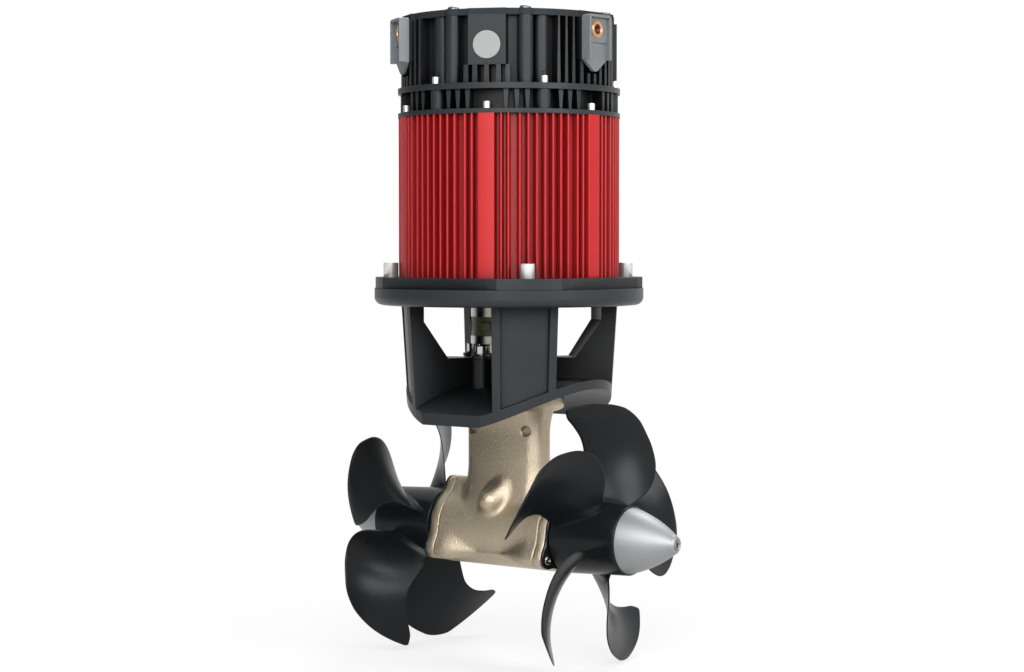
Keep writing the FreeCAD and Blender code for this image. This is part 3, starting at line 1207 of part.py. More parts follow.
def drill_head(body):
    """Screw holes, the disc's recess and the bores for the terminal inserts."""
    tap = post(HEAD_SCREW_R + SCREW_FIT, HEAD_SCREW_CIRCLE_R, 0, RING_BOTTOM - 1, RING_THICKNESS + 2)
    sink = post(HEAD_SCREW_HEAD_R + HEAD_FIT, HEAD_SCREW_CIRCLE_R, 0, RING_TOP,
                HEAD_SCREW_HEAD_H + SCREW_POCKET_RISE)
    cuts = around(tap, HEAD_SCREW_COUNT, RING_SCREW_ANGLE)
    cuts += around(sink, HEAD_SCREW_COUNT, RING_SCREW_ANGLE)
    depth = LID_SCREW_GRIP + LID_TAP_GAP
    for angle in LID_SCREW_ANGLES:
        place = at_angle(LID_COLUMN_CENTRE_R, angle)
        cuts.append(post(LID_SCREW_R + SCREW_FIT, place.x, place.y, HEAD_TOP - depth, depth + 1))
    recess = PANEL_DISTANCE - DISC_THICKNESS / 2
    cuts.append(turned(disc_at(recess, DISC_R + SCREW_FIT, DISC_THICKNESS, DISC_Z), PANEL_ANGLE))
    start = INSERT_FACE - INSERT_LENGTH
    for angle in TERMINAL_ANGLES:
        hole = disc_at(start - 1, INSERT_R + SCREW_FIT, INSERT_LENGTH + 1, INSERT_Z)
        cuts.append(turned(hole, angle))
    for cutter in cuts:
        body = body.cut(cutter)
    return body


def disc_at(distance, radius, thickness, z):
    """Disc facing out from the motor's axis."""
    return Part.makeCylinder(radius, thickness, V(distance, 0, z), OUT)


def badge_disc():
    """Bare disc set into the panel."""
    disc = disc_at(PANEL_DISTANCE - DISC_THICKNESS / 2, DISC_R, DISC_THICKNESS, DISC_Z)
    return turned(disc, PANEL_ANGLE)


def lid_outline(bottom, height):
    """Round lid with an ear over each column and flats over panel and terminals."""
    ears = []
    for angle in LID_SCREW_ANGLES:
        place = at_angle(LID_COLUMN_CENTRE_R, angle)
        ears.append(post(COLUMN_R + EAR_RIM, place.x, place.y, bottom, height))
    flats = [(PANEL_ANGLE, PANEL_HALF_WIDTH)] + [(a, SHROUD_HALF_WIDTH) for a in TERMINAL_ANGLES]
    for angle, half in flats:
        ears.append(flat_pad(angle, half, PANEL_DISTANCE, bottom, bottom + height))
    return fused(cylinder(LID_R, bottom, height), ears)


def head_lid():
    """Flat lid, held by its six screws."""
    lid = lid_outline(HEAD_TOP, LID_THICKNESS)
    spigot = cylinder(HEAD_CORE_R - HEAD_WALL - SCREW_FIT, HEAD_TOP - LID_SPIGOT_H, LID_SPIGOT_H + 1)
    lid = lid.fuse(spigot).removeSplitter()
    for angle in LID_SCREW_ANGLES:
        place = at_angle(LID_COLUMN_CENTRE_R, angle)
        lid = lid.cut(post(LID_SCREW_R + SCREW_FIT, place.x, place.y, HEAD_TOP - 1, LID_THICKNESS + 2))
    return lid


def lid_screws():
    """Dome-head screws on the lid."""
    screws = []
    dome_r = (LID_SCREW_HEAD_R ** 2 + LID_SCREW_HEAD_H ** 2) / (2 * LID_SCREW_HEAD_H)
    dome = Part.makeSphere(dome_r, V(0, 0, LID_TOP + LID_SCREW_HEAD_H - dome_r))
    dome = dome.common(cylinder(LID_SCREW_HEAD_R + 1, LID_TOP, LID_SCREW_HEAD_H + 1))
    floor = V(0, 0, LID_TOP + LID_SCREW_SOCKET_RISE)
    socket = polygon_face([floor + at_angle(LID_SCREW_SOCKET_R, 60 * k) for k in range(6)])
    shank = cylinder(LID_SCREW_R, HEAD_TOP - LID_SCREW_GRIP, LID_THICKNESS + LID_SCREW_GRIP)
    screw = dome.fuse(shank).removeSplitter().cut(socket.extrude(V(0, 0, LID_SCREW_HEAD_H)))
    for angle in LID_SCREW_ANGLES:
        copy = screw.copy()
        copy.translate(at_angle(LID_COLUMN_CENTRE_R, angle))
        screws.append(copy)
    return screws


def terminal_shroud(angle):
    """Insulating shroud round a power terminal: back plate, side and top walls, insert boss."""
    w = SHROUD_HALF_WIDTH
    plate = pointed_plate(SHROUD_BACK, SHROUD_PLATE, SHROUD_TOP - SHROUD_EDGE_R)
    box = block(SHROUD_BACK, SHROUD_FRONT, -w, w, SHROUD_BOTTOM, SHROUD_TOP)
    corners = [e for e in box.Edges if abs(e.BoundBox.XLength - SHROUD_DEPTH) < 0.01
               and e.CenterOfMass.z > SHROUD_TOP - 1]
    box = box.makeFillet(SHROUD_EDGE_R, corners)
    hollow = block(SHROUD_BACK + SHROUD_PLATE, SHROUD_FRONT + 1, -w + SHROUD_WALL, w - SHROUD_WALL,
                   SHROUD_BOTTOM - 1, SHROUD_TOP - SHROUD_WALL)
    side = w - SHROUD_BOSS_MARGIN
    boss = block(SHROUD_BACK + 1, INSERT_FACE - INSERT_PROUD, -side, side, SHROUD_BOSS_BOTTOM,
                 SHROUD_TOP - 1)
    body = fused(box.cut(hollow), [plate, boss])
    body = body.cut(disc_at(0, INSERT_R + SCREW_FIT, SHROUD_FRONT + 1, INSERT_Z))
    return turned(body, angle)


def terminal_insert(angle):
    """Brass insert with the thread for a cable lug's bolt."""
    start = INSERT_FACE - INSERT_LENGTH
    insert = disc_at(start, INSERT_R, INSERT_LENGTH, INSERT_Z)
    return turned(insert.cut(disc_at(start - 1, INSERT_HOLE_R, INSERT_LENGTH + 2, INSERT_Z)), angle)


def drive_board():
    """Round circuit board on four pillars that stand on the head's floor."""
    board = ring(BOARD_R, MOTOR_SHAFT_R, BOARD_Z, BOARD_THICKNESS)
    pillar = post(BOARD_POST_R, BOARD_R - BOARD_POST_INSET, 0, RING_TOP, BOARD_RISE)
    return fused(board, around(pillar, ARM_COUNT, BOARD_POST_ANGLE))


def board_capacitors():
    """Capacitors that stand on the board."""
    can = post(CAPACITOR_R, CAPACITOR_CIRCLE_R, 0, BOARD_Z + BOARD_THICKNESS, CAPACITOR_H)
    return around(can, CAPACITOR_COUNT)


os.makedirs("parts", exist_ok=True)

save("bracket", bracket())
save("leg_bolts", *leg_bolts())
save("leg_bolt_washers", *leg_washers())
save("leg_gasket", leg_gasket())
save("gear_leg", gear_leg())
save("leg_bearing_sleeve", leg_spacer())
save("near_end_cap", end_cap())
save("far_end_cap", mirrored(end_cap()))
save("near_seal_plate", seal_plate())
save("far_seal_plate", mirrored(seal_plate()))
save("end_cap_screws", *cap_screws())
save("near_propeller_bearing", propeller_bearing())
save("far_propeller_bearing", mirrored(propeller_bearing()))
save("near_shaft_seal", shaft_seal())
save("far_shaft_seal", mirrored(shaft_seal()))
save("lower_leg_bearing", bearing(LOWER_LEG_BEARING))
save("upper_leg_bearing", bearing(UPPER_LEG_BEARING))
save("input_shaft_seal", input_seal())

save("input_shaft", input_shaft())
save("bevel_pinion", bevel_pinion())
save("lower_coupling_hub", lower_coupling_hub())
save("coupling_spider", coupling_spider())
save("upper_coupling_hub", upper_coupling_hub())
save("motor_shaft", motor_shaft())
save("rotor_core", rotor_core())
save("rotor_magnets", *rotor_magnets())

save("near_bevel_gear", shaft_gear(0.5))
save("far_bevel_gear", mirrored(shaft_gear(0.0)))
save("near_propeller_shaft", propeller_shaft())
save("far_propeller_shaft", mirrored(propeller_shaft()))
near_propeller = propeller()
save("near_propeller", near_propeller)
save("far_propeller", mirrored(near_propeller))
save("near_drive_pin", drive_pin())
save("far_drive_pin", mirrored(drive_pin()))
save("near_anode_cone", anode_cone())
save("far_anode_cone", mirrored(anode_cone()))
save("near_anode_screw", anode_screw())
save("far_anode_screw", mirrored(anode_screw()))

save("motor_flange", motor_flange())
save("flange_screws", *flange_screws())
save("motor_frame", motor_frame())
save("stator_core", stator_core())
save("stator_winding", stator_winding())
save("lower_motor_bearing", bearing(LOWER_MOTOR_BEARING))
save("upper_motor_bearing", bearing(UPPER_MOTOR_BEARING))
save("end_shield", end_shield())
save("shield_screws", *head_screws(PLATE_TOP, PLATE_SCREW_ANGLE, FRAME_TOP))
save("head_housing", head_housing())
save("ring_screws", *head_screws(RING_TOP, RING_SCREW_ANGLE, RING_BOTTOM - RING_SCREW_GRIP))
save("badge_disc", badge_disc())
save("head_lid", head_lid())
save("lid_screws", *lid_screws())
save("positive_terminal_shroud", terminal_shroud(TERMINAL_ANGLES[0]))
save("negative_terminal_shroud", terminal_shroud(TERMINAL_ANGLES[1]))
save("positive_terminal_insert", terminal_insert(TERMINAL_ANGLES[0]))
save("negative_terminal_insert", terminal_insert(TERMINAL_ANGLES[1]))
save("drive_board", drive_board())
save("board_capacitors", *board_capacitors())
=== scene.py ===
"""Electric tunnel thruster: brushless motor on a bracket, bronze gear leg, two counter-turning propellers.

Metres, Z up, but what is multiplied by MM is in millimetres. The motor's axis stands at the origin
and the propellers' axis is X.
"""
import bpy
import bmesh
import math
import numpy as np
from mathutils import Matrix, Vector


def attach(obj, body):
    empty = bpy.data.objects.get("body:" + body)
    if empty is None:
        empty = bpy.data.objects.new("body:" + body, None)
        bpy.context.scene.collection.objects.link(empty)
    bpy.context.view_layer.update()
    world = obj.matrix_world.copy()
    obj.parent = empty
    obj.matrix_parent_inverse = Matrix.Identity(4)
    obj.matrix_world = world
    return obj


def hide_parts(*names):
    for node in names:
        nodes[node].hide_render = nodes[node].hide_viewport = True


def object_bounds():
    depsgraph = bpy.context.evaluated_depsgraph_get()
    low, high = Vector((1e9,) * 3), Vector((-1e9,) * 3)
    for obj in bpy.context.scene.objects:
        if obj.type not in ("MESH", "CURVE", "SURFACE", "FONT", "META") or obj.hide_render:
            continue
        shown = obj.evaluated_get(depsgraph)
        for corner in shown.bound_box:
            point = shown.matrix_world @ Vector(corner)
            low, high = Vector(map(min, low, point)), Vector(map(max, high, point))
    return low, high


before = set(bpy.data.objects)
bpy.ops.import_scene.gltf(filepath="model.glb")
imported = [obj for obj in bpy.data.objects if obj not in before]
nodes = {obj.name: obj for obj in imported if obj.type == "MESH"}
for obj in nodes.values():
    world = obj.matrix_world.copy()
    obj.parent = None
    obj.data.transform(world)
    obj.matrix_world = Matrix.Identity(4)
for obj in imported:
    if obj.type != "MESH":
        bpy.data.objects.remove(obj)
cad_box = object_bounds()


# The camera stands between the near propeller's end and the oil boss's side, and looks down a little.
# Its place follows from the vanishing of the picture's upright and level edges.
def in_scene(name, data):
    """Object with its data, linked to the scene."""
    thing = bpy.data.objects.new(name, data)
    bpy.context.scene.collection.objects.link(thing)
    return thing


VIEW_TURN = math.radians(36.5)
VIEW_DROP = math.radians(2.4309)
CAMERA_DISTANCE = 2.02211
CAMERA_SHIFT = 0.00271
CAMERA_HEIGHT = 0.26163
toward = Vector((math.sin(VIEW_TURN), -math.cos(VIEW_TURN), 0.0))
rightward = Vector((math.cos(VIEW_TURN), math.sin(VIEW_TURN), 0.0))
camera_data = bpy.data.cameras.new("studio_camera")
camera_data.sensor_width = 36.0
camera_data.lens = 78.584
camera = in_scene("studio_camera", camera_data)
camera.location = toward * CAMERA_DISTANCE + rightward * CAMERA_SHIFT + Vector((0.0, 0.0, CAMERA_HEIGHT))
camera.rotation_euler = (math.pi / 2 - VIEW_DROP, 0.0, VIEW_TURN)
bpy.context.scene.camera = camera


# The studio: a pale floor that turns plain white away from the thruster, and broad soft lamps. The white
# surroundings have three darker zones, which give the bright metal and the black skins their contrast.
def add_node(tree, kind, feeds=None, **settings):
    """Node of a tree with its settings; feeds gives its inputs their values, or the sockets they link to."""
    node = tree.nodes.new(kind)
    for setting, value in settings.items():
        setattr(node, setting, value)
    for key, feed in (feeds or {}).items():
        if isinstance(feed, bpy.types.NodeSocket):
            tree.links.new(feed, node.inputs[key])
        else:
            node.inputs[key].default_value = feed
    return node


def add_math(tree, operation, *feeds):
    """Result socket of a math node that is fed by values or sockets."""
    return add_node(tree, "ShaderNodeMath", dict(enumerate(feeds)), operation=operation).outputs[0]


def add_range(tree, value, start, end, low=0.0, high=1.0, **settings):
    """Result socket of a value's way from start to end, spread from low to high."""
    feeds = {"Value": value, "From Min": start, "From Max": end, "To Min": low, "To Max": high}
    return add_node(tree, "ShaderNodeMapRange", feeds, **settings).outputs["Result"]


def ray_masks(tree):
    """Masks of the rays from the camera, and of those with the mirrored rays."""
    path = add_node(tree, "ShaderNodeLightPath")
    from_camera = path.outputs["Is Camera Ray"]
    return from_camera, add_math(tree, "MAXIMUM", from_camera, path.outputs["Is Glossy Ray"])


def heading(turn, rise):
    """Unit vector towards an azimuth and a height, in degrees."""
    a = math.radians(turn)
    e = math.radians(rise)
    return Vector((math.cos(a) * math.cos(e), math.sin(a) * math.cos(e), math.sin(e)))


bpy.context.scene.view_settings.view_transform = "Standard"
world = bpy.data.worlds.new("white_studio")
bpy.context.scene.world = world
world.use_nodes = True
sky = world.node_tree
sky.nodes.clear()
around = add_node(sky, "ShaderNodeTexCoord").outputs["Generated"]
sky_from_camera, sky_seen = ray_masks(sky)
sky_level = None
# Each zone: azimuth and height of its middle, the angles at which it fades in and is full, and its depth.
for turn, rise, outer, inner, depth in (
        (-75.0, 4.0, 44.0, 16.0, 0.6),
        (-142.0, 10.0, 50.0, 34.0, 0.9),
        (168.0, 2.0, 48.0, 14.0, 0.55)):
    side = add_node(sky, "ShaderNodeVectorMath", {0: around, 1: heading(turn, rise)},
                    operation="DOT_PRODUCT")
    zone = add_range(sky, side.outputs["Value"], math.cos(math.radians(outer)),
                     math.cos(math.radians(inner)), 1.0, 1.0 - depth, interpolation_type="SMOOTHSTEP")
    sky_level = add_math(sky, "MULTIPLY", sky_level, zone) if sky_level else zone
sky_strength = add_math(sky, "MAXIMUM", sky_level, sky_from_camera)
sky_light = add_node(sky, "ShaderNodeBackground", {"Color": (0.96, 0.98, 1.0, 1.0), "Strength": 0.24})
sky_white = add_node(sky, "ShaderNodeBackground", {"Color": (1.0, 1.0, 1.0, 1.0), "Strength": sky_strength})
sky_mix = add_node(sky, "ShaderNodeMixShader",
                   {0: sky_seen, 1: sky_light.outputs[0], 2: sky_white.outputs[0]})
add_node(sky, "ShaderNodeOutputWorld", {"Surface": sky_mix.outputs[0]})

LAMP_TARGET = Vector((0.0, 0.0, 0.17))
# Each lamp: azimuth and height in degrees, distance from its target, width and watts.
for name, turn, rise, distance, width, watts in (
        ("key_lamp", -58.0, 24.0, 2.4, 1.8, 52.0),
        ("left_lamp", -92.0, 26.0, 2.6, 1.0, 5.0),
        ("right_lamp", -8.0, 20.0, 2.4, 1.3, 34.0),
        ("back_lamp", 110.0, 50.0, 2.6, 1.4, 36.0)):
    lamp_data = bpy.data.lights.new(name, "AREA")
    lamp_data.shape = "DISK"
    lamp_data.size = width
    lamp_data.energy = watts
    lamp = in_scene(name, lamp_data)
    aim = heading(turn, rise)
    lamp.location = LAMP_TARGET + aim * distance
    lamp.rotation_euler = aim.to_track_quat("Z", "Y").to_euler()

FLOOR_REACH = 9.0
FLOOR_GAP = 0.0008
WHITE_START = 0.05
WHITE_END = 0.5
LEAST_WHITE = 0.72
floor_z = cad_box[0].z - FLOOR_GAP
floor_mesh = bpy.data.meshes.new("studio_floor")
floor_mesh.from_pydata([(x * FLOOR_REACH, y * FLOOR_REACH, floor_z)
                        for x, y in ((-1, -1), (1, -1), (1, 1), (-1, 1))], [], [(0, 1, 2, 3)])
floor = in_scene("studio_floor", floor_mesh)
floor_paint = bpy.data.materials.new("studio_floor")
floor_paint.use_nodes = True
paint = floor_paint.node_tree
paint.nodes.clear()
paint_place = add_node(paint, "ShaderNodeTexCoord").outputs["Object"]
paint_far = add_node(paint, "ShaderNodeVectorMath", {0: paint_place}, operation="LENGTH")
paint_fade = add_range(paint, paint_far.outputs["Value"], WHITE_START, WHITE_END, LEAST_WHITE, 1.0,
                       interpolation_type="SMOOTHSTEP")
paint_share = add_math(paint, "MULTIPLY", paint_fade, ray_masks(paint)[1])
paint_matt = add_node(paint, "ShaderNodeBsdfDiffuse", {"Color": (0.9, 0.9, 0.9, 1.0)})
paint_white = add_node(paint, "ShaderNodeEmission", {"Strength": 1.0})
paint_mix = add_node(paint, "ShaderNodeMixShader",
                     {0: paint_share, 1: paint_matt.outputs[0], 2: paint_white.outputs[0]})
add_node(paint, "ShaderNodeOutputMaterial", {"Surface": paint_mix.outputs[0]})
floor.data.materials.append(floor_paint)


# Gear leg: one bronze casting with a curved flange, a strut and the round gear housing, sand cast
# and blasted, so every edge is soft and the skin is evenly grained. The end faces are machined.
def new_tree(name, kind, inputs, outputs):
    """Node tree with inputs (name, kind, value) and outputs (name, kind).

    Returns the tree, its input node, its output node, and each input's identifier.
    """
    tree = bpy.data.node_groups.new(name, kind)
    keys = {}
    for label, socket_kind, value in inputs:
        socket = tree.interface.new_socket(label, in_out="INPUT", socket_type=socket_kind)
        if value is not None:
            socket.default_value = value
        keys[label] = socket.identifier
    for label, socket_kind in outputs:
        tree.interface.new_socket(label, in_out="OUTPUT", socket_type=socket_kind)
    return tree, tree.nodes.new("NodeGroupInput"), tree.nodes.new("NodeGroupOutput"), keys


def grain_group():
    """Fine grain of a skin: height for a bump, and a slow drift for colour and gloss."""
    group, given, result, _ = new_tree(
        "skin_grain", "ShaderNodeTree",
        (("Grains per metre", "NodeSocketFloat", 1500.0), ("Drifts per metre", "NodeSocketFloat", 18.0),
         ("Pits", "NodeSocketFloat", 0.3)),
        (("Height", "NodeSocketFloat"), ("Drift", "NodeSocketFloat")))
    place = add_node(group, "ShaderNodeTexCoord").outputs["Object"]
    grains = given.outputs["Grains per metre"]
    drifts = given.outputs["Drifts per metre"]
    fine = add_node(group, "ShaderNodeTexNoise", {"Vector": place, "Scale": grains, "Detail": 2.0})
    slow = add_node(group, "ShaderNodeTexNoise", {"Vector": place, "Scale": drifts, "Detail": 3.0})
    cells = add_node(group, "ShaderNodeTexVoronoi", {"Vector": place, "Scale": grains})
    pits = add_math(group, "MULTIPLY", cells.outputs["Distance"], given.outputs["Pits"])
    height = add_math(group, "ADD", fine.outputs["Fac"], pits)
    group.links.new(height, result.inputs["Height"])
    group.links.new(slow.outputs["Fac"], result.inputs["Drift"])
    return group


# Cosine between the softened normal and the face's at which an edge starts to take the painted highlight,
# and takes it fully.
# The noise breaks the painted highlight up between two levels, and leaves its least share everywhere.
HIGHLIGHT_COSINES = (0.985, 0.8)
PATCH_LEVELS = (0.38, 0.62)
LEAST_HIGHLIGHT = 0.45


def edge_highlight_group():
    """Mask of the painted edge highlight: where the softened normal turns from the face, broken up by a
    coarse noise.
    """
    group, given, result, _ = new_tree(
        "painted_edge_highlight", "ShaderNodeTree",
        (("Patches per metre", "NodeSocketFloat", 160.0), ("Normal", "NodeSocketVector", None)),
        (("Mask", "NodeSocketFloat"),))
    face = add_node(group, "ShaderNodeNewGeometry").outputs["Normal"]
    place = add_node(group, "ShaderNodeTexCoord").outputs["Object"]
    turned = add_node(group, "ShaderNodeVectorMath", {0: face, 1: given.outputs["Normal"]},
                      operation="DOT_PRODUCT")
    patches = add_node(group, "ShaderNodeTexNoise",
                       {"Vector": place, "Scale": given.outputs["Patches per metre"], "Detail": 3.0})
    edge = add_range(group, turned.outputs["Value"], *HIGHLIGHT_COSINES)
    chosen = add_range(group, patches.outputs["Fac"], *PATCH_LEVELS, LEAST_HIGHLIGHT)
    group.links.new(add_math(group, "MULTIPLY", edge, chosen), result.inputs["Mask"])
    return group


skin_grain = grain_group()
painted_edge_highlight = edge_highlight_group()
GRAIN_MIDDLE = 0.6
DRIFT_LEVELS = (0.25, 0.75)
HOLLOW_LEVELS = (0.42, 0.85)


def mixed_colour(tree, share, first, second):
    """Result socket of a mix of two colours, each a value or a socket."""
    feeds = {"Factor": share, "A": first, "B": second}
    return add_node(tree, "ShaderNodeMix", feeds, data_type="RGBA").outputs["Result"]


def grained_finish(name, colour, shade, roughness, metallic=0.0, *, grains, pits=0.0, depth, edge,
                   gloss_drift=0.06, speckle=0.0, edge_highlight_colour=None, specular=0.5, hollow_shade_reach=0.0, hollow_shade_share=0.1):
    """Grained skin between two colours, with a painted highlight on softened edges, and a drift of tone and
    gloss.

    The grain's height is a depth, and an edge is softened by its radius, in metres. Speckle lets the grain
    tint the skin. Painted shade darkens the hollows narrower than the shade reach, to a share of the shade
    colour.
    """
    material = bpy.data.materials.new(name)
    material.use_nodes = True
    tree = material.node_tree
    shader = tree.nodes["Principled BSDF"]
    shader.inputs["Base Color"].default_value = (*colour, 1.0)
    shader.inputs["Roughness"].default_value = roughness
    shader.inputs["Metallic"].default_value = metallic
    shader.inputs["Specular IOR Level"].default_value = specular
    grain = add_node(tree, "ShaderNodeGroup", {"Grains per metre": grains, "Pits": pits},
                     node_tree=skin_grain)
    height = grain.outputs["Height"]
    drift = grain.outputs["Drift"]
    above_middle = add_math(tree, "ADD", height, -GRAIN_MIDDLE)
    tint = add_node(tree, "ShaderNodeMath", {0: above_middle, 1: speckle, 2: drift},
                    operation="MULTIPLY_ADD", use_clamp=True)
    skin = mixed_colour(tree, tint.outputs[0], (*shade, 1.0), (*colour, 1.0))
    gloss = add_range(tree, drift, *DRIFT_LEVELS, roughness - gloss_drift, roughness + gloss_drift)
    soft_edge = add_node(tree, "ShaderNodeBevel", {"Radius": edge}, samples=4).outputs["Normal"]
    bump = add_node(tree, "ShaderNodeBump",
                    {"Strength": 1.0, "Distance": depth, "Height": height, "Normal": soft_edge})
    # Painted highlight: the skin turns towards a lighter colour on softened edges.
    if edge_highlight_colour:
        edge_highlight = add_node(tree, "ShaderNodeGroup", {"Normal": soft_edge}, node_tree=painted_edge_highlight)
        skin = mixed_colour(tree, edge_highlight.outputs["Mask"], skin, (*edge_highlight_colour, 1.0))
    # Painted shade: the base colour darkens towards a share of the shade colour in hollows narrower than the
    # reach.
    if hollow_shade_reach:
        hollow = add_node(tree, "ShaderNodeAmbientOcclusion", {"Distance": hollow_shade_reach}, samples=6)
        open_share = add_range(tree, hollow.outputs["AO"], *HOLLOW_LEVELS)
        skin = mixed_colour(tree, open_share, (*[part * hollow_shade_share for part in shade], 1.0), skin)
    tree.links.new(skin, shader.inputs["Base Color"])
    tree.links.new(gloss, shader.inputs["Roughness"])
    tree.links.new(bump.outputs["Normal"], shader.inputs["Normal"])
    return material


def new_piece(name, mesh, material, body, slot, *replaced):
    """Finished piece at the origin that rides on a body and stands for CAD nodes."""
    piece = in_scene(name, mesh)
    if material:
        mesh.materials.clear()
        mesh.materials.append(material)
    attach(piece, body)
    if replaced:
        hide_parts(*replaced)
    return piece


# The bronze's edges get a paler painted highlight.
bronze = grained_finish("cast_bronze", (0.53, 0.452, 0.336), (0.36, 0.302, 0.216), 0.42, 1.0, grains=950.0,
                        pits=0.6, depth=0.00038, edge=0.0012, speckle=1.3, edge_highlight_colour=(0.54, 0.47, 0.36))


def smooth_least(a, b, k):
    """Union of two distance fields with a fillet of about k."""
    h = np.clip(0.5 + 0.5 * (b - a) / k, 0.0, 1.0)
    return b + (a - b) * h - k * h * (1.0 - h)


def smooth_most(a, b, k):
    """Cut of one distance field by another with a rounded edge of about k."""
    return -smooth_least(-a, -b, k)


def capsule_distance(x, y, z, start, end, radius_start, radius_end):
    """Distance to a round bar whose ends are balls."""
    line = [e - s for s, e in zip(start, end)]
    along = ((x - start[0]) * line[0] + (y - start[1]) * line[1] + (z - start[2]) * line[2])
    t = np.clip(along / sum(c * c for c in line), 0.0, 1.0)
    gap = np.sqrt((x - start[0] - t * line[0])**2 + (y - start[1] - t * line[1])**2
                  + (z - start[2] - t * line[2])**2)
    return gap - (radius_start + (radius_end - radius_start) * t)


MM = 0.001
LEG_TOP_R = 123.5
LEG_FLANGE_R = 50.0
LEG_FLANGE_THICKNESS = 9.0
LEG_FLANGE_BOTTOM = 60.0
LEG_FLANGE_EDGE = 3.0
STRUT_TOP_GAP = 3.0
STRUT_HALF_LENGTH = 40.0
STRUT_HALF_WIDTH = 14.5
STRUT_CORNER_R = 10.0
STRUT_CROWN = 2.4
TOP_FLARE = 7.0
TOP_FLARE_START = 86.0
TOP_FLARE_HEIGHT = 31.5
TOP_FLARE_POWER = 2.2
FOOT_FLARE = 5.0
FOOT_FLARE_START = 62.0
FOOT_FLARE_HEIGHT = 32.0
FOOT_EDGE = 2.0
HOUSING_R = 33.5
HOUSING_HALF_LENGTH = 55.5
CHAMBER_R = 25.6
LOBE_CIRCLE_R = 37.8
LOBE_R = 7.7
LOBE_BLEND = 16.0
LOBE_SINK = 11.0
LOBE_FADE_START = 12.0
LOBE_FADE_LENGTH = 36.0
STRUT_FILLET = 5.0
FLANGE_FILLET = 6.0
BOSS_START = (5.0, -12.0, 38.5)
BOSS_END = (-2.0, -25.0, 28.0)
BOSS_RADII = (10.0, 11.5)
BOSS_FILLET = 6.0
DIMPLE_X = 29.6
DIMPLE_Z = 92.0
DIMPLE_R = 4.5
DIMPLE_FACE_Y = 19.5
DIMPLE_HALF_DEPTH = 9.0
DIMPLE_EDGE = 1.2
SHARP_EDGE = 1.0
SHAFT_WAY_R = 12.2
SHAFT_WAY_BOTTOM = 10.0
BEARING_SEAT_R = 17.6
BEARING_SEAT_DEPTH = 20.5
LEG_LOW = (-56.0, -51.0, -44.0)
LEG_HIGH = (56.0, 51.0, 124.0)
LEG_CELL = 1.05
SKIN_ROUNDS = 3
SLOPE_STEP = 0.05
LEAST_SLOPE = 0.25
MOST_MOVE = 0.5


def lobed_distance(y, z, lobe_radius):
    """Distance from the housing's outline: a circle with three lobes that run into it gently."""
    outline = np.sqrt(y * y + z * z) - HOUSING_R
    for turn in range(3):
        a = math.radians(120 * turn)
        cy = -LOBE_CIRCLE_R * math.sin(a)
        cz = LOBE_CIRCLE_R * math.cos(a)
        outline = smooth_least(outline, np.sqrt((y - cy)**2 + (z - cz)**2) - lobe_radius, LOBE_BLEND)
    return outline


def leg_distance(x, y, z):
    """Distance in millimetres from the bronze casting's skin; negative inside."""
    from_shafts = np.sqrt(y * y + z * z)
    from_motor_axis = np.sqrt(x * x + y * y)
    swell = np.clip((np.abs(x) - LOBE_FADE_START) / LOBE_FADE_LENGTH, 0.0, 1.0)
    swell = swell * swell * (3.0 - 2.0 * swell)
    housing = lobed_distance(y, z, LOBE_R - LOBE_SINK * (1.0 - swell))
    rise = np.clip((z - TOP_FLARE_START) / TOP_FLARE_HEIGHT, 0.0, 1.0)
    foot = np.clip((FOOT_FLARE_START - z) / FOOT_FLARE_HEIGHT, 0.0, 1.0)
    grow = TOP_FLARE * rise**TOP_FLARE_POWER + FOOT_FLARE * foot * foot
    crown = STRUT_CROWN * (1.0 - np.minimum(x / STRUT_HALF_LENGTH, 1.0)**2)
    qx = np.abs(x) - (STRUT_HALF_LENGTH - STRUT_CORNER_R)
    qy = np.abs(y) - (STRUT_HALF_WIDTH - STRUT_CORNER_R) - crown
    strut = np.sqrt(np.maximum(qx, 0)**2 + np.maximum(qy, 0)**2) + np.minimum(np.maximum(qx, qy), 0)
    strut = strut - STRUT_CORNER_R - grow
    strut = smooth_most(strut, -z, FOOT_EDGE)
    strut = smooth_most(strut, from_shafts - (LEG_TOP_R - STRUT_TOP_GAP), SHARP_EDGE)
    shell = np.abs(from_shafts - (LEG_TOP_R - LEG_FLANGE_THICKNESS / 2)) - LEG_FLANGE_THICKNESS / 2
    flange = smooth_most(shell, from_motor_axis - LEG_FLANGE_R, LEG_FLANGE_EDGE)
    flange = smooth_most(flange, LEG_FLANGE_BOTTOM - z, SHARP_EDGE)
    body = smooth_least(housing, strut, STRUT_FILLET)
    body = smooth_least(body, flange, FLANGE_FILLET)
    boss = capsule_distance(x, y, z, BOSS_START, BOSS_END, *BOSS_RADII)
    body = smooth_least(body, boss, BOSS_FILLET)
    for side in (-1, 1):
        dimple = np.sqrt((x - side * DIMPLE_X)**2 + (z - DIMPLE_Z)**2) - DIMPLE_R
        dimple = np.maximum(dimple, np.abs(y + DIMPLE_FACE_Y) - DIMPLE_HALF_DEPTH)
        body = smooth_most(body, -dimple, DIMPLE_EDGE)
    body = np.maximum(body, CHAMBER_R - from_shafts)
    way = np.maximum(from_motor_axis - SHAFT_WAY_R, SHAFT_WAY_BOTTOM - z)
    seat = np.maximum(from_motor_axis - BEARING_SEAT_R, LEG_TOP_R - BEARING_SEAT_DEPTH - z)
    body = np.maximum(body, -np.minimum(way, seat))
    return np.maximum(body, np.abs(x) - HOUSING_HALF_LENGTH)


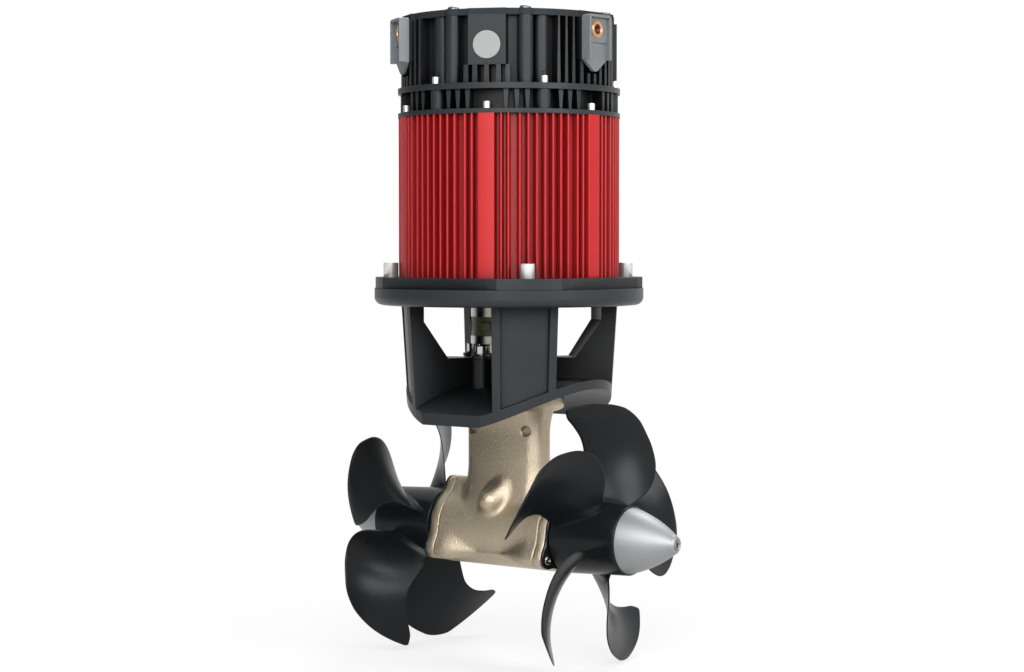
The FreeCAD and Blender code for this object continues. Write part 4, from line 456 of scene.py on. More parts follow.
def skin_of_field(field, low, high, cell):
    """Mesh of a distance field's zero surface: a vertex for each crossed cell, drawn onto the skin."""
    axes = [np.arange(lo - 2 * cell, hi + 3 * cell, cell) for lo, hi in zip(low, high)]
    gx, gy, gz = np.meshgrid(*axes, indexing="ij")
    values = field(gx, gy, gz)
    inside = values < 0
    shape = [n - 1 for n in values.shape]
    corners = [(i, j, k) for i in (0, 1) for j in (0, 1) for k in (0, 1)]
    count = sum(inside[i:i + shape[0], j:j + shape[1], k:k + shape[2]].astype(int)
                for i, j, k in corners)
    crossed = (count > 0) & (count < 8)
    cells = np.argwhere(crossed)
    number = -np.ones(shape, int)
    number[crossed] = np.arange(len(cells))
    total = np.zeros((len(cells), 3))
    hits = np.zeros(len(cells))
    a, b, c = cells.T
    for first in corners:
        for axis in range(3):
            if first[axis]:
                continue
            second = list(first)
            second[axis] = 1
            v0 = values[a + first[0], b + first[1], c + first[2]]
            v1 = values[a + second[0], b + second[1], c + second[2]]
            cut = (v0 < 0) != (v1 < 0)
            t = np.where(cut, v0 / np.where(cut, v0 - v1, 1.0), 0.0)
            point = np.array(first, float)[None, :].repeat(len(cells), 0)
            point[:, axis] = t
            total += point * cut[:, None]
            hits += cut
    points = (cells + total / hits[:, None]) * cell + np.array([axis[0] for axis in axes])
    for _ in range(SKIN_ROUNDS):
        x, y, z = points.T
        here = field(x, y, z)
        step = cell * SLOPE_STEP
        slope = np.stack((field(x + step, y, z) - field(x - step, y, z),
                          field(x, y + step, z) - field(x, y - step, z),
                          field(x, y, z + step) - field(x, y, z - step)), 1) / (2 * step)
        length = np.maximum((slope * slope).sum(1), LEAST_SLOPE)
        move = -here[:, None] * slope / length[:, None]
        points += np.clip(move, -MOST_MOVE * cell, MOST_MOVE * cell)
    faces = []
    for axis in range(3):
        u, w = [n for n in range(3) if n != axis]
        ahead = [slice(None)] * 3
        behind = [slice(None)] * 3
        ahead[axis] = slice(1, None)
        behind[axis] = slice(None, -1)
        edges = np.argwhere(inside[tuple(ahead)] != inside[tuple(behind)])
        eu, ew = edges[:, u], edges[:, w]
        edges = edges[(eu > 0) & (ew > 0) & (eu < shape[u]) & (ew < shape[w])]
        ring = []
        for du, dw in ((-1, -1), (0, -1), (0, 0), (-1, 0)):
            place = edges.copy()
            place[:, u] += du
            place[:, w] += dw
            ring.append(number[tuple(place.T)])
        quad = np.stack(ring, 1)
        starts_inside = inside[tuple(edges.T)]
        flip = starts_inside if axis == 1 else ~starts_inside
        quad[flip] = quad[flip][:, ::-1]
        faces.append(quad)
    return points, np.concatenate(faces)


leg_points, leg_faces = skin_of_field(leg_distance, LEG_LOW, LEG_HIGH, LEG_CELL)
leg_mesh = bpy.data.meshes.new("bronze_leg_casting")
leg_mesh.from_pydata((leg_points * MM).tolist(), [], leg_faces.tolist())
leg_mesh.validate()
leg_mesh.shade_smooth()
new_piece("bronze_leg_casting", leg_mesh, bronze, "housing", "bronze", "gear_leg")


# End caps: bronze like the leg, bolted to both ends of the gear housing with a fine seam between. Each has
# the housing's lobed outline, with a screw in each lobe, and holds a shaft's bearing and seal.
CAP_RIM = ((55.55, 0.55), (55.9, 0.15), (56.4, 0.0), (63.0, 0.0), (63.6, 0.25), (64.0, 0.8))
CAP_BORE_R = 15.2
OUTLINE_LEAST_R = 15.0
OUTLINE_MOST_R = 60.0
OUTLINE_ROUNDS = 40
PLATE_STEPS = 240
SHARP_ANGLE = math.radians(32)


def outline_radius(angle, inset):
    """Radius of the lobed outline at an angle, drawn in by an inset."""
    low, high = OUTLINE_LEAST_R, OUTLINE_MOST_R
    for _ in range(OUTLINE_ROUNDS):
        middle = (low + high) / 2
        y = np.array(-middle * math.sin(angle))
        z = np.array(middle * math.cos(angle))
        if lobed_distance(y, z, LOBE_R) < -inset:
            low = middle
        else:
            high = middle
    return low


def bridge(bm, first, second):
    """Faces between two rings of as many vertices."""
    for k in range(len(first)):
        n = (k + 1) % len(first)
        bm.faces.new((first[k], first[n], second[n], second[k]))


def finished_mesh(bm, name, sharp=SHARP_ANGLE):
    """Mesh of a closed form, facing outwards and smooth between its sharp edges."""
    bmesh.ops.recalc_face_normals(bm, faces=bm.faces)
    mesh = bpy.data.meshes.new(name)
    bm.to_mesh(mesh)
    bm.free()
    mesh.shade_smooth()
    if sharp:
        mesh.set_sharp_from_angle(angle=sharp)
    return mesh


def lobed_plate(profile, bore):
    """Closed plate across X with the lobed outline, a round bore, and (along, inset) points for its rim."""
    bm = bmesh.new()
    angles = [2 * math.pi * k / PLATE_STEPS for k in range(PLATE_STEPS)]
    sides = [(along, [outline_radius(a, inset) for a in angles]) for along, inset in profile]
    sides += [(along, [bore] * PLATE_STEPS) for along in (profile[-1][0], profile[0][0])]
    rings = [[bm.verts.new((along * MM, -r * MM * math.sin(a), r * MM * math.cos(a)))
              for a, r in zip(angles, radii)] for along, radii in sides]
    for first, second in zip(rings, rings[1:] + rings[:1]):
        bridge(bm, first, second)
    return finished_mesh(bm, "lobed_plate")


def mirrored(mesh, name):
    """Mirror image of a mesh across the motor's middle plane."""
    other = mesh.copy()
    other.name = name
    bm = bmesh.new()
    bm.from_mesh(other)
    for vertex in bm.verts:
        vertex.co.x = -vertex.co.x
    bmesh.ops.reverse_faces(bm, faces=bm.faces)
    bm.to_mesh(other)
    bm.free()
    return other


def new_pair(label, mesh, material, slot, node, near_body="housing", far_body="housing"):
    """Near piece and its mirror image at the far end, each for its CAD node."""
    mesh.name = "near_" + label
    far_mesh = mirrored(mesh, "far_" + label)
    new_piece("near_" + label, mesh, material, near_body, slot, "near_" + node)
    new_piece("far_" + label, far_mesh, material, far_body, slot, "far_" + node)


new_pair("bronze_cap", lobed_plate(CAP_RIM, CAP_BORE_R), bronze, "bronze", "end_cap")


# Seal plates close the housing at both ends: thin black plates, glossy, under three button-head screws.
# The gasket under the leg's flange and the shaft seals are black rubber.
def dress(material, *names):
    """Give CAD nodes their finish."""
    for name in names:
        data = nodes[name].data
        data.materials.clear()
        data.materials.append(material)


PLATE_RIM = ((64.0, 0.7), (64.2, 0.35), (64.6, 0.2), (65.7, 0.2), (66.2, 0.45), (66.5, 1.0))
PLATE_BORE_R = 10.2
PLATE_FACE_X = 66.5
# The glossy black's edges get a lighter painted highlight.
gloss_black = grained_finish("glossy_black", (0.008, 0.0085, 0.009), (0.005, 0.0055, 0.006), 0.16,
                             grains=500.0, depth=0.00001, edge=0.0004, gloss_drift=0.03,
                             edge_highlight_colour=(0.03, 0.031, 0.033))
new_pair("seal_cover", lobed_plate(PLATE_RIM, PLATE_BORE_R), gloss_black, "propeller_black", "seal_plate")
rubber = grained_finish("black_rubber", (0.012, 0.012, 0.012), (0.006, 0.006, 0.006), 0.62, grains=2600.0,
                        pits=0.2, depth=0.00003, edge=0.0003)
dress(rubber, "leg_gasket", "near_shaft_seal", "far_shaft_seal", "input_shaft_seal")

# Gears, shafts, bearings and the motor's two cores: steel, turned, cut or ground to size, with fine marks of
# the tool. They sit inside the leg and the motor.
steel = grained_finish("machined_steel", (0.56, 0.56, 0.57), (0.46, 0.46, 0.47), 0.27, 1.0, grains=4000.0,
                       depth=0.000012, edge=0.0003)
dress(steel, "near_bevel_gear", "far_bevel_gear", "bevel_pinion", "near_propeller_shaft",
      "far_propeller_shaft", "input_shaft", "motor_shaft", "near_drive_pin", "far_drive_pin",
      "near_propeller_bearing", "far_propeller_bearing", "lower_leg_bearing", "upper_leg_bearing",
      "leg_bearing_sleeve", "lower_motor_bearing", "upper_motor_bearing", "rotor_core", "stator_core")

# Propellers: five swept blades cast in one with the hub, moulded in a tough black plastic with a satin skin.
# Each hub is pinned to its shaft. The far propeller is the near one's mirror image and turns the other way.
# The blades' and hub's edges get a lighter painted highlight.
satin_black = grained_finish("satin_black_plastic", (0.0068, 0.0083, 0.0096), (0.0048, 0.006, 0.0071), 0.29,
                             grains=900.0, pits=0.1, depth=0.00003, edge=0.0006, edge_highlight_colour=(0.02, 0.022, 0.024),
                             specular=0.17)
BLADES = 5
HUB_START = 0.068
HUB_END = 0.134
HUB_INNER_R = 0.0335
HUB_OUTER_R = 0.0305
HUB_RIM = 0.0012
HUB_RIM_STEPS = 6
HUB_SIDE_STEPS = 10
BLADE_ROOT_R = 0.0255
BLADE_TIP_R = 0.1184
BLADE_MIDDLE_X = 0.102
BLADE_RAKE = 0.0148
BLADE_PITCHES = (0.3456, 0.2538)
BLADE_LINES = (39.3, 37.4)
BLADE_THICKNESSES = (0.006, 0.0022)
BLADE_EDGE = 0.0012
BLADE_CAMBER = 0.003
INBOARD_CORNER_R = 0.014
OUTBOARD_CORNER_R = 0.0095
ROOT_FILLET_R = 0.0045
SPAN_STEPS = 44
SPAN_CROWDING = 1.6
CHORD_STEPS = 30
SECTION_FULLNESS = 0.8
FILLET_FULLNESS = 0.35
SAME_PLACE = 0.00002
ON_AXIS = 1e-7
KNURL_DEPTH = 0.00028
ALONG_X = (1.0, 0.0, 0.0)
ALONG_Z = (0.0, 0.0, 1.0)
# One blade's edges: share of the way from root to tip, angles of the inboard and the outboard edge.
BLADE_OUTLINE = ((0.0, 30.4, -5.0), (0.16, 30.1, -13.0), (0.33, 29.8, -17.4), (0.49, 30.6, -17.0),
                 (0.65, 35.0, -12.4), (0.78, 41.0, -4.8), (0.88, 46.0, 3.4), (0.95, 49.5, 9.2),
                 (1.0, 53.0, 15.0))


def outline_angle(share, column):
    """Edge angle at a share of the span: a smooth curve through the outline's stations."""
    last = len(BLADE_OUTLINE) - 2
    k = min(last, max(0, sum(1 for row in BLADE_OUTLINE if row[0] <= share) - 1))
    p0 = BLADE_OUTLINE[max(0, k - 1)]
    p1 = BLADE_OUTLINE[k]
    p2 = BLADE_OUTLINE[k + 1]
    p3 = BLADE_OUTLINE[min(last + 1, k + 2)]
    width = p2[0] - p1[0]
    t = (share - p1[0]) / width
    slope1 = (p2[column] - p0[column]) / (p2[0] - p0[0]) * width
    slope2 = (p3[column] - p1[column]) / (p3[0] - p1[0]) * width
    return ((2 * t**3 - 3 * t**2 + 1) * p1[column] + (t**3 - 2 * t**2 + t) * slope1
            + (-2 * t**3 + 3 * t**2) * p2[column] + (t**3 - t**2) * slope2)


def blade_point(share, angle, lift):
    """Point of the blade, with its lift along the shaft."""
    pitch = BLADE_PITCHES[0] + (BLADE_PITCHES[1] - BLADE_PITCHES[0]) * share
    line = BLADE_LINES[0] + (BLADE_LINES[1] - BLADE_LINES[0]) * share
    radius = BLADE_ROOT_R + (BLADE_TIP_R - BLADE_ROOT_R) * share
    a = math.radians(line + angle)
    x = BLADE_MIDDLE_X + BLADE_RAKE * share**2 - pitch * angle / 360.0 + lift
    return Vector((x, -radius * math.sin(a), radius * math.cos(a)))


def quarter_round(distance, radius):
    """Share of full size at a distance from a rounded edge."""
    if distance >= radius:
        return 1.0
    return math.sqrt(max(0.0, 1.0 - (1.0 - distance / radius) ** 2))


def blade_mesh():
    """One blade with rounded edges and tip corners and a fillet that flares into the hub."""
    bm = bmesh.new()
    loops = []
    for i in range(SPAN_STEPS + 1):
        share = 1.0 - (1.0 - i / SPAN_STEPS) ** SPAN_CROWDING
        radius = BLADE_ROOT_R + (BLADE_TIP_R - BLADE_ROOT_R) * share
        from_tip = BLADE_TIP_R - radius
        from_hub = max(0.0, radius - HUB_INNER_R)
        flare = ROOT_FILLET_R * (1.0 - quarter_round(from_hub, ROOT_FILLET_R))
        inboard_pull = INBOARD_CORNER_R * (1.0 - quarter_round(from_tip, INBOARD_CORNER_R))
        outboard_pull = OUTBOARD_CORNER_R * (1.0 - quarter_round(from_tip, OUTBOARD_CORNER_R))
        high = outline_angle(share, 1) - math.degrees(inboard_pull / radius)
        low = outline_angle(share, 2) + math.degrees(outboard_pull / radius)
        chord = math.radians(high - low) * radius
        thickness = BLADE_THICKNESSES[0] + (BLADE_THICKNESSES[1] - BLADE_THICKNESSES[0]) * share
        tip_round = quarter_round(from_tip, thickness / 2)
        upper = []
        lower = []
        for j in range(CHORD_STEPS + 1):
            s = 0.5 - 0.5 * math.cos(math.pi * j / CHORD_STEPS)
            angle = high + (low - high) * s
            bulge = math.sin(math.pi * s) if 0.0 < s < 1.0 else 0.0
            half = (BLADE_EDGE + (thickness - BLADE_EDGE) * bulge ** SECTION_FULLNESS) / 2
            half *= quarter_round(min(s, 1.0 - s) * chord, BLADE_EDGE) * tip_round
            half += flare * bulge ** FILLET_FULLNESS
            camber = BLADE_CAMBER * bulge
            upper.append(bm.verts.new(blade_point(share, angle, camber + half)))
            if 0 < j < CHORD_STEPS:
                lower.append(bm.verts.new(blade_point(share, angle, camber - half)))
        loops.append(upper + lower[::-1])
    for first, second in zip(loops, loops[1:]):
        bridge(bm, first, second)
    bm.faces.new(loops[0])
    bm.faces.new(loops[-1])
    bmesh.ops.remove_doubles(bm, verts=bm.verts, dist=SAME_PLACE)
    return finished_mesh(bm, "blade", None)


def ring_radius(radius, kind, k, steps):
    """Radius of a ring's point: plain, knurled with fine teeth, or on the flats of a hexagon."""
    if kind == "knurl" and k % 2:
        return radius - KNURL_DEPTH
    if kind == "hex":
        return radius / math.cos((2 * math.pi * k / steps + math.pi / 6) % (math.pi / 3) - math.pi / 6)
    return radius


def turned_mesh(name, profile, steps=96, axis="X", closed=False):
    """Solid of revolution from (along, radius) points; ends close on the axis, or on each other if closed.

    A point's third item, if any, makes its ring knurled or hexagonal.
    """
    bm = bmesh.new()
    rings = []
    for along, radius, *kind in profile:
        row = []
        if radius < ON_AXIS:
            row.append(bm.verts.new((along, 0.0, 0.0) if axis == "X" else (0.0, 0.0, along)))
        else:
            for k in range(steps):
                a = 2 * math.pi * k / steps
                r = ring_radius(radius, kind[0] if kind else None, k, steps)
                c = r * math.cos(a)
                s = r * math.sin(a)
                row.append(bm.verts.new((along, c, s) if axis == "X" else (c, s, along)))
        rings.append(row)
    for first, second in zip(rings, rings[1:] + rings[:1] if closed else rings[1:]):
        for k in range(steps):
            n = (k + 1) % steps
            corners = (first[k % len(first)], first[n % len(first)],
                       second[n % len(second)], second[k % len(second)])
            distinct = list(dict.fromkeys(corners))
            if len(distinct) > 2:
                bm.faces.new(distinct)
    return finished_mesh(bm, name)


def hub_mesh():
    """Propeller hub with rounded rims, closed on the shaft."""
    profile = [(HUB_START, 0.0), (HUB_START, HUB_INNER_R - HUB_RIM)]
    turns = [math.pi / 2 * k / HUB_RIM_STEPS for k in range(1, HUB_RIM_STEPS)]
    for a in turns:
        profile.append((HUB_START + HUB_RIM * (1 - math.cos(a)), HUB_INNER_R - HUB_RIM * (1 - math.sin(a))))
    for k in range(HUB_SIDE_STEPS + 1):
        t = k / HUB_SIDE_STEPS
        along = HUB_START + HUB_RIM + (HUB_END - HUB_START - 2 * HUB_RIM) * t
        profile.append((along, HUB_INNER_R + (HUB_OUTER_R - HUB_INNER_R) * (along - HUB_START)
                        / (HUB_END - HUB_START)))
    for a in turns:
        profile.append((HUB_END - HUB_RIM * (1 - math.sin(a)), HUB_OUTER_R - HUB_RIM * (1 - math.cos(a))))
    profile += [(HUB_END, HUB_OUTER_R - HUB_RIM), (HUB_END, 0.0)]
    return turned_mesh("hub", profile)


def ring_tree():
    """Copies of a part set round an axis, singly or in groups, joined with a core."""
    tree, given, result, keys = new_tree(
        "set_round", "GeometryNodeTree",
        (("Geometry", "NodeSocketGeometry", None), ("Core", "NodeSocketObject", None),
         ("Count", "NodeSocketInt", BLADES), ("Group size", "NodeSocketInt", 1),
         ("Group turn", "NodeSocketFloat", 1.0), ("Turn in group", "NodeSocketFloat", 0.0),
         ("First turn", "NodeSocketFloat", 0.0), ("Axis", "NodeSocketVector", ALONG_Z),
         ("Material", "NodeSocketMaterial", None)),
        (("Geometry", "NodeSocketGeometry"),))
    places = add_node(tree, "GeometryNodePoints", {"Count": given.outputs["Count"]})
    index = add_node(tree, "GeometryNodeInputIndex").outputs[0]
    size = given.outputs["Group size"]
    group = add_math(tree, "FLOOR", add_math(tree, "DIVIDE", index, size))
    member = add_math(tree, "MODULO", index, size)
    start = add_math(tree, "MULTIPLY_ADD", group, given.outputs["Group turn"], given.outputs["First turn"])
    turn = add_math(tree, "MULTIPLY_ADD", member, given.outputs["Turn in group"], start)
    angles = add_node(tree, "ShaderNodeVectorMath", operation="SCALE")
    tree.links.new(given.outputs["Axis"], angles.inputs[0])
    tree.links.new(turn, angles.inputs["Scale"])
    copies = add_node(tree, "GeometryNodeInstanceOnPoints",
                      {"Points": places.outputs[0], "Instance": given.outputs["Geometry"],
                       "Rotation": angles.outputs[0]})
    core = add_node(tree, "GeometryNodeObjectInfo", {"Object": given.outputs["Core"]})
    joined = add_node(tree, "GeometryNodeJoinGeometry", {0: copies.outputs[0]})
    tree.links.new(core.outputs["Geometry"], joined.inputs[0])
    real = add_node(tree, "GeometryNodeRealizeInstances", {0: joined.outputs[0]})
    painted = add_node(tree, "GeometryNodeSetMaterial",
                       {"Geometry": real.outputs[0], "Material": given.outputs["Material"]})
    tree.links.new(painted.outputs[0], result.inputs[0])
    return tree, keys


round_tree, round_keys = ring_tree()


def set_round(name, part, material, count, turn, first=0.0, size=1, step=0.0, axis=ALONG_Z, core=None):
    """Mesh of a part's copies round an axis, joined with a core mesh; turns in degrees.

    The copies stand in groups of a size, a step apart, and turn is the way from one group to the next.
    """
    work = in_scene(name, part)
    middle = in_scene("core", core) if core else None
    rows = work.modifiers.new("set_round", "NODES")
    rows.node_group = round_tree
    for label, value in (
            ("Core", middle), ("Count", count), ("Group size", size), ("Group turn", math.radians(turn)),
            ("Turn in group", math.radians(step)), ("First turn", math.radians(first)), ("Axis", axis),
            ("Material", material)):
        rows[round_keys[label]] = value
    graph = bpy.context.evaluated_depsgraph_get()
    mesh = bpy.data.meshes.new_from_object(work.evaluated_get(graph))
    mesh.name = name
    work.modifiers.clear()
    bpy.data.objects.remove(work)
    if middle:
        bpy.data.objects.remove(middle)
    return mesh


propeller = set_round("near_propeller_casting", blade_mesh(), satin_black, BLADES, 360.0 / BLADES,
                      axis=ALONG_X, core=hub_mesh())
new_pair("propeller_casting", propeller, None, "propeller_black", "propeller", "near_drive", "far_drive")

# Anode cones fair the hubs. They are cast in a soft grey metal, turned smooth, and each is held
# by one countersunk screw.
anode_grey = grained_finish("anode_grey", (0.33, 0.335, 0.34), (0.25, 0.255, 0.26), 0.5, 0.8, grains=2200.0,
                            pits=0.15, depth=0.00004, edge=0.0006, speckle=0.3)
dress(anode_grey, "near_anode_cone", "far_anode_cone")

# Screws: bright plated socket heads on flange, ring and shield, chromed ones on the leg, and dull steel ones
# in lid, end plates and cones. Each set is one head and shank, turned and then set round its axis.
bright_screw = grained_finish("bright_screw", (0.8, 0.8, 0.79), (0.6, 0.6, 0.59), 0.34, 0.8, grains=900.0,
                              pits=0.6, depth=0.00003, edge=0.0002, gloss_drift=0.08, speckle=1.0)
dull_screw = grained_finish("dull_screw", (0.3, 0.3, 0.31), (0.2, 0.2, 0.21), 0.26, 1.0, grains=1800.0,
                            depth=0.000006, edge=0.0002, gloss_drift=0.04)
chrome_bolt = grained_finish("chrome_bolt", (0.62, 0.62, 0.62), (0.45, 0.45, 0.45), 0.17, 1.0, grains=1200.0,
                             pits=0.2, depth=0.00001, edge=0.0002, gloss_drift=0.04)
# Sizes in millimetres: radius and height of the head, radius and length of the shank, radius and depth of
# the socket, width of the head's round rim, and the kind of its side.
FLANGE_SCREW = (6.7, 13.0, 4.0, 22.0, 3.4, 5.0, 0.9, "knurl")
LEG_BOLT = (6.2, 8.8, 4.2, 46.0, 3.1, 4.4, 0.8, "knurl")
RING_SCREW = (3.1, 6.2, 2.0, 12.0, 1.5, 2.6, 0.5, "plain")
SHIELD_SCREW = (3.1, 6.2, 2.0, 3.5, 1.5, 2.6, 0.5, "plain")
LID_SCREW = (5.2, 2.6, 2.5, 16.0, 1.9, 1.4, 2.3, "plain")
CONE_SCREW = (4.3, 3.2, 3.0, 58.0, 2.1, 2.2, 0.4, "plain")
CAP_SCREW = (4.4, 1.8, 2.5, 20.0, 1.6, 1.1, 1.5, "plain")
CONE_SCREW_X = 177.2
HEAD_FOOT = 0.3
LEAST_SIDE = 0.4
MOST_RIM_SHARE = 0.45
SOCKET_FLARE = 1.2
SOCKET_CHAMFER = 0.25
SOCKET_POINT = 0.5
SCREW_STEPS = 48


def screw_mesh(head_r, head_h, shank_r, shank_h, socket_r, socket_depth, rim, kind, place):
    """Screw along Z with its head's underside at zero, moved to its place."""
    rows = [(-shank_h, 0.0), (-shank_h, shank_r), (0.0, shank_r), (0.0, head_r - HEAD_FOOT),
            (HEAD_FOOT, head_r, kind)]
    if head_h - rim > LEAST_SIDE:
        rows.append((head_h - rim, head_r, kind))
    inward = min(rim, head_r * MOST_RIM_SHARE)
    for k in range(1, 5):
        a = math.pi / 2 * k / 4
        rows.append((head_h - rim + rim * math.sin(a), head_r - inward * (1 - math.cos(a))))
    rows += [(head_h, socket_r * SOCKET_FLARE), (head_h - SOCKET_CHAMFER, socket_r, "hex"),
             (head_h - socket_depth, socket_r, "hex"), (head_h - socket_depth - SOCKET_POINT, 0.0)]
    mesh = turned_mesh("screw", [(row[0] * MM, row[1] * MM, *row[2:]) for row in rows], SCREW_STEPS, "Z")
    mesh.transform(place)
    return mesh


def upright(radius, z):
    """Place of a screw that stands at a distance from the motor's axis, in millimetres."""
    return Matrix.Translation((radius * MM, 0.0, z * MM))


def lengthwise(x, z):
    """Place of a screw that lies along the propellers' axis or beside it, in millimetres."""
    return Matrix.Translation((x * MM, 0.0, z * MM)) @ Matrix.Rotation(math.pi / 2, 4, "Y")


# Each set: its node, finish and sizes, distance from the axis, height, count, turn between two, first turn.
for node, finish, sizing, radius, z, count, turn, first in (
        ("flange_screws", bright_screw, FLANGE_SCREW, 107.0, 229.4, 4, 90.0, 45.0),
        ("leg_bolts", chrome_bolt, LEG_BOLT, 40.5, 159.6, 4, 90.0, 0.0),
        ("ring_screws", bright_screw, RING_SCREW, 96.0, 397.9, 6, 60.0, -35.0),
        ("shield_screws", bright_screw, SHIELD_SCREW, 96.0, 375.7, 6, 60.0, -65.0)):
    name = "turned_" + node
    screws = set_round(name, screw_mesh(*sizing, upright(radius, z)), finish, count, turn, first)
    new_piece(name, screws, None, "housing", "chrome", node)
lid_screw = screw_mesh(*LID_SCREW, upright(90.5, 461.8))
lid_pair = set_round("lid_pair", lid_screw, dull_screw, 2, 41.0, -85.5)
lid_screws = set_round("turned_lid_screws", lid_screw, dull_screw, 4, 60.0, 16.5, core=lid_pair)
new_piece("turned_lid_screws", lid_screws, None, "housing", "steel", "lid_screws")
new_pair("cone_screw", screw_mesh(*CONE_SCREW, lengthwise(CONE_SCREW_X, 0.0)), dull_screw, "chrome",
         "anode_screw", "near_drive", "far_drive")
cap_screw = screw_mesh(*CAP_SCREW, lengthwise(PLATE_FACE_X, LOBE_CIRCLE_R))
near_cap_screws = set_round("near_cap_screws", cap_screw, dull_screw, 3, 120.0, axis=ALONG_X)
both_ends = bmesh.new()
both_ends.from_mesh(near_cap_screws)
both_ends.from_mesh(mirrored(near_cap_screws, "far_cap_screws"))
cap_screws = bpy.data.meshes.new("turned_end_cap_screws")
both_ends.to_mesh(cap_screws)
both_ends.free()
new_piece("turned_end_cap_screws", cap_screws, dull_screw, "housing", "steel", "end_cap_screws")

# Bracket: one aluminium casting, painted black, with four arms. It saddles the tunnel, and the leg's four
# bolts pull the leg up against it from inside the tunnel. The motor's flange and shield have the same paint.
# The black paint is darkened with painted shade in its hollows, such as inside the bracket, and its edges
# get a lighter painted highlight.
black_paint = grained_finish("black_paint", (0.0245, 0.028, 0.0305), (0.018, 0.0207, 0.0228), 0.36,
                             grains=700.0, pits=0.3, depth=0.00008, edge=0.0009, edge_highlight_colour=(0.055, 0.06, 0.063),
                             specular=0.18, hollow_shade_reach=0.16)
dress(black_paint, "bracket", "motor_flange", "end_shield")
dark_washer = grained_finish("dark_washer", (0.02, 0.019, 0.02), (0.012, 0.011, 0.012), 0.28, 0.6,
                             grains=1500.0, depth=0.00002, edge=0.0003)
dress(dark_washer, "leg_bolt_washers")

# Shaft coupling: two turned halves with jaws in a satin silver, and an elastic spider between them whose
# olive sleeve hides the jaws.
satin_silver = grained_finish("satin_silver", (0.6, 0.58, 0.52), (0.46, 0.44, 0.39), 0.25, 1.0,
                              grains=2400.0, depth=0.00001, edge=0.0004, gloss_drift=0.04)
dress(satin_silver, "lower_coupling_hub", "upper_coupling_hub")
olive_elastomer = grained_finish("olive_elastomer", (0.05, 0.052, 0.022), (0.033, 0.035, 0.014), 0.4,
                                 grains=1200.0, pits=0.1, depth=0.00002, edge=0.0008)
dress(olive_elastomer, "coupling_spider")

# Motor frame: an extruded aluminium tube, painted deep red. Six wide flat ribs stand round it with eleven
# slim cooling fins between each two, the outer pair of a bay closer together. It stands on the black flange.
# The red paint is darkened with painted shade in the narrow gaps between its fins.
red_paint = grained_finish("red_paint", (0.4, 0.01, 0.0115), (0.35, 0.0085, 0.0098), 0.4, grains=800.0,
                           pits=0.1, depth=0.00001, edge=0.0003, gloss_drift=0.03, specular=0.3, hollow_shade_reach=0.016,
                           hollow_shade_share=0.5)
FRAME_R = 100.0
FRAME_ROOT_R = 92.5
FRAME_BORE_R = 86.2
FRAME_BOTTOM = 229.4
FRAME_TOP = 371.8
FRAME_STEPS = 192
FRAME_SHARP_ANGLE = math.radians(35)
FIN_END_GAP = 0.02
FIN_SIDE = ((91.4, 2.4), (92.5, 2.2), (92.9, 1.75), (93.6, 1.5), (98.2, 1.1))
FIN_TIP_RISE = 1.2
RIB_SIDE = ((91.4, 8.6), (92.5, 8.4), (92.9, 7.8), (93.6, 7.45), (99.0, 7.3))
RIB_CORNER_R = 0.75
RIB_FACE = ((99.88, 4.4), (99.97, 2.2), (FRAME_R, 0.0))
BAYS = 6
BAY_TURN = 60.0
FIRST_RIB_ANGLE = -65.0


def extruded_mesh(name, half_outline):
    """Bar along the motor from (radius, half width) points of its outline's upper half."""
    outline = half_outline + [(r, -w) for r, w in reversed(half_outline) if w > 0.0]
    bm = bmesh.new()
    rings = [[bm.verts.new((r * MM, w * MM, z * MM)) for r, w in outline]
             for z in (FRAME_BOTTOM + FIN_END_GAP, FRAME_TOP - FIN_END_GAP)]
    bridge(bm, *rings)
    for ring in rings:
        bm.faces.new(ring)
    return finished_mesh(bm, name, FRAME_SHARP_ANGLE)


fin_outline = list(FIN_SIDE)
fin_foot, fin_half = FIN_SIDE[-1]
for k in range(1, 6):
    a = math.pi / 2 * k / 5
    fin_outline.append((fin_foot + FIN_TIP_RISE * math.sin(a), fin_half * math.cos(a)))
rib_outline = list(RIB_SIDE)
rib_foot, rib_half = RIB_SIDE[-1]
for k in range(1, 5):
    a = math.pi / 2 * k / 4
    rib_outline.append((rib_foot + RIB_CORNER_R * math.sin(a), rib_half - RIB_CORNER_R * (1 - math.cos(a))))
rib_outline += RIB_FACE
fin = extruded_mesh("fin", fin_outline)
rib = extruded_mesh("rib", rib_outline)
tube = turned_mesh("tube", [(z * MM, r * MM) for z, r in (
    (FRAME_BOTTOM, FRAME_BORE_R), (FRAME_BOTTOM, FRAME_ROOT_R), (FRAME_TOP, FRAME_ROOT_R),
    (FRAME_TOP, FRAME_BORE_R))], FRAME_STEPS, "Z", closed=True)
finned = set_round("wide_ribs", rib, red_paint, BAYS, BAY_TURN, FIRST_RIB_ANGLE, core=tube)
# Each group of a bay's fins: the first one's turn from the rib, how many, and the turn between two.
for name, from_rib, size, step in (
        ("middle_fins", 17.0, 7, 13.0 / 3),
        ("left_fins", 7.5, 2, 3.7),
        ("finned_frame", 48.8, 2, 3.7)):
    finned = set_round(name, fin, red_paint, BAYS * size, BAY_TURN, FIRST_RIB_ANGLE + from_rib, size, step,
                       core=finned)
new_piece("finned_frame", finned, None, "housing", "red_paint", "motor_frame")

# Inside the motor: a copper winding in the stator and magnets glued round the rotor. The drive's green board
# and its capacitors stand under the lid.
copper = grained_finish("copper_winding", (0.62, 0.23, 0.1), (0.5, 0.17, 0.07), 0.3, 1.0, grains=900.0,
                        pits=0.6, depth=0.0002, edge=0.001)
dress(copper, "stator_winding")
magnet_grey = grained_finish("magnet_grey", (0.2, 0.2, 0.21), (0.15, 0.15, 0.16), 0.4, 1.0, grains=1500.0,
                             depth=0.00001, edge=0.0004)
dress(magnet_grey, "rotor_magnets")
board_green = grained_finish("board_green", (0.01, 0.09, 0.03), (0.008, 0.07, 0.025), 0.35, grains=600.0,
                             depth=0.00001, edge=0.0002)
dress(board_green, "drive_board", "board_capacitors")

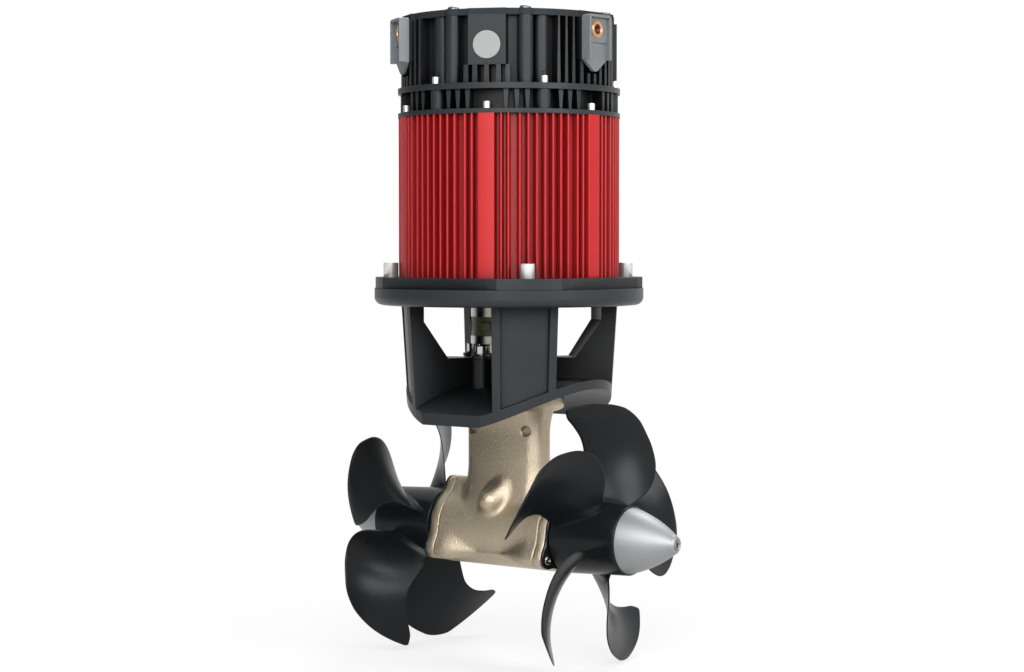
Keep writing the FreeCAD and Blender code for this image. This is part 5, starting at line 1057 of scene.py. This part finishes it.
# Head: a black cast housing under a matte lid, with two grey terminal shrouds and a bare round disc. Each
# shroud holds a brass insert, whose thread is red inside.
dress(black_paint, "head_housing")
# The lid's edges get a lighter painted highlight.
lid_paint = grained_finish("lid_paint", (0.03, 0.034, 0.037), (0.022, 0.025, 0.028), 0.75, grains=500.0,
                           pits=0.3, depth=0.0001, edge=0.0009, edge_highlight_colour=(0.055, 0.06, 0.063), specular=0.05)
dress(lid_paint, "head_lid")
# The shrouds' edges get a much lighter painted highlight.
grey_plastic = grained_finish("grey_plastic", (0.14, 0.15, 0.156), (0.125, 0.134, 0.14), 0.42, grains=1600.0,
                              pits=0.2, depth=0.00003, edge=0.0005, edge_highlight_colour=(0.24, 0.25, 0.255))
dress(grey_plastic, "positive_terminal_shroud", "negative_terminal_shroud")
insert_brass = grained_finish("insert_brass", (0.72, 0.47, 0.25), (0.6, 0.37, 0.18), 0.34, 1.0,
                              grains=1500.0, depth=0.00001, edge=0.0003)
thread_red = grained_finish("thread_red", (0.16, 0.006, 0.003), (0.1, 0.004, 0.002), 0.3, grains=1500.0,
                            depth=0.00001, edge=0.0002)
TERMINAL_Z = 445.7
RING_PROFILE = ((89.2, 0.0), (89.2, 7.7), (103.0, 7.7), (103.0, 7.2), (102.7, 7.1), (102.7, 6.7),
                (103.1, 6.6), (103.5, 6.3), (103.6, 6.0), (103.6, 5.0), (103.4, 4.7), (102.9, 4.4),
                (91.0, 4.4), (91.0, 0.0))
THREAD_MOUTH = ((91.2, 0.0), (91.2, 4.38), (102.6, 4.38), (102.8, 4.1))
THREAD_BOTTOM = ((92.0, 3.5), (92.0, 0.0))
THREAD_START = 102.6
THREAD_END = 93.0
THREAD_PITCH = 1.25
THREAD_CREST_R = 3.5
THREAD_ROOT_R = 3.95
thread_profile = list(THREAD_MOUTH)
along = THREAD_START
while along > THREAD_END:
    thread_profile += [(along, THREAD_CREST_R), (along - THREAD_PITCH / 2, THREAD_ROOT_R)]
    along -= THREAD_PITCH
thread_profile += THREAD_BOTTOM
for side, turn in (("positive", -5.0), ("negative", -125.0)):
    place = Matrix.Rotation(math.radians(turn), 4, "Z") @ Matrix.Translation((0.0, 0.0, TERMINAL_Z * MM))
    for part, profile, steps, finish, replaced in (
            ("_insert_ring", RING_PROFILE, 64, insert_brass, (side + "_terminal_insert",)),
            ("_insert_thread", thread_profile, 48, thread_red, ())):
        mesh = turned_mesh(side + part, [(x * MM, r * MM) for x, r in profile], steps)
        mesh.transform(place)
        new_piece(side + part, mesh, finish, "housing", "insert_brass", *replaced)
disc_grey = grained_finish("disc_grey", (0.27, 0.275, 0.275), (0.25, 0.255, 0.255), 0.5, grains=1200.0,
                           depth=0.00001, edge=0.0004, specular=0.3)
dress(disc_grey, "badge_disc")
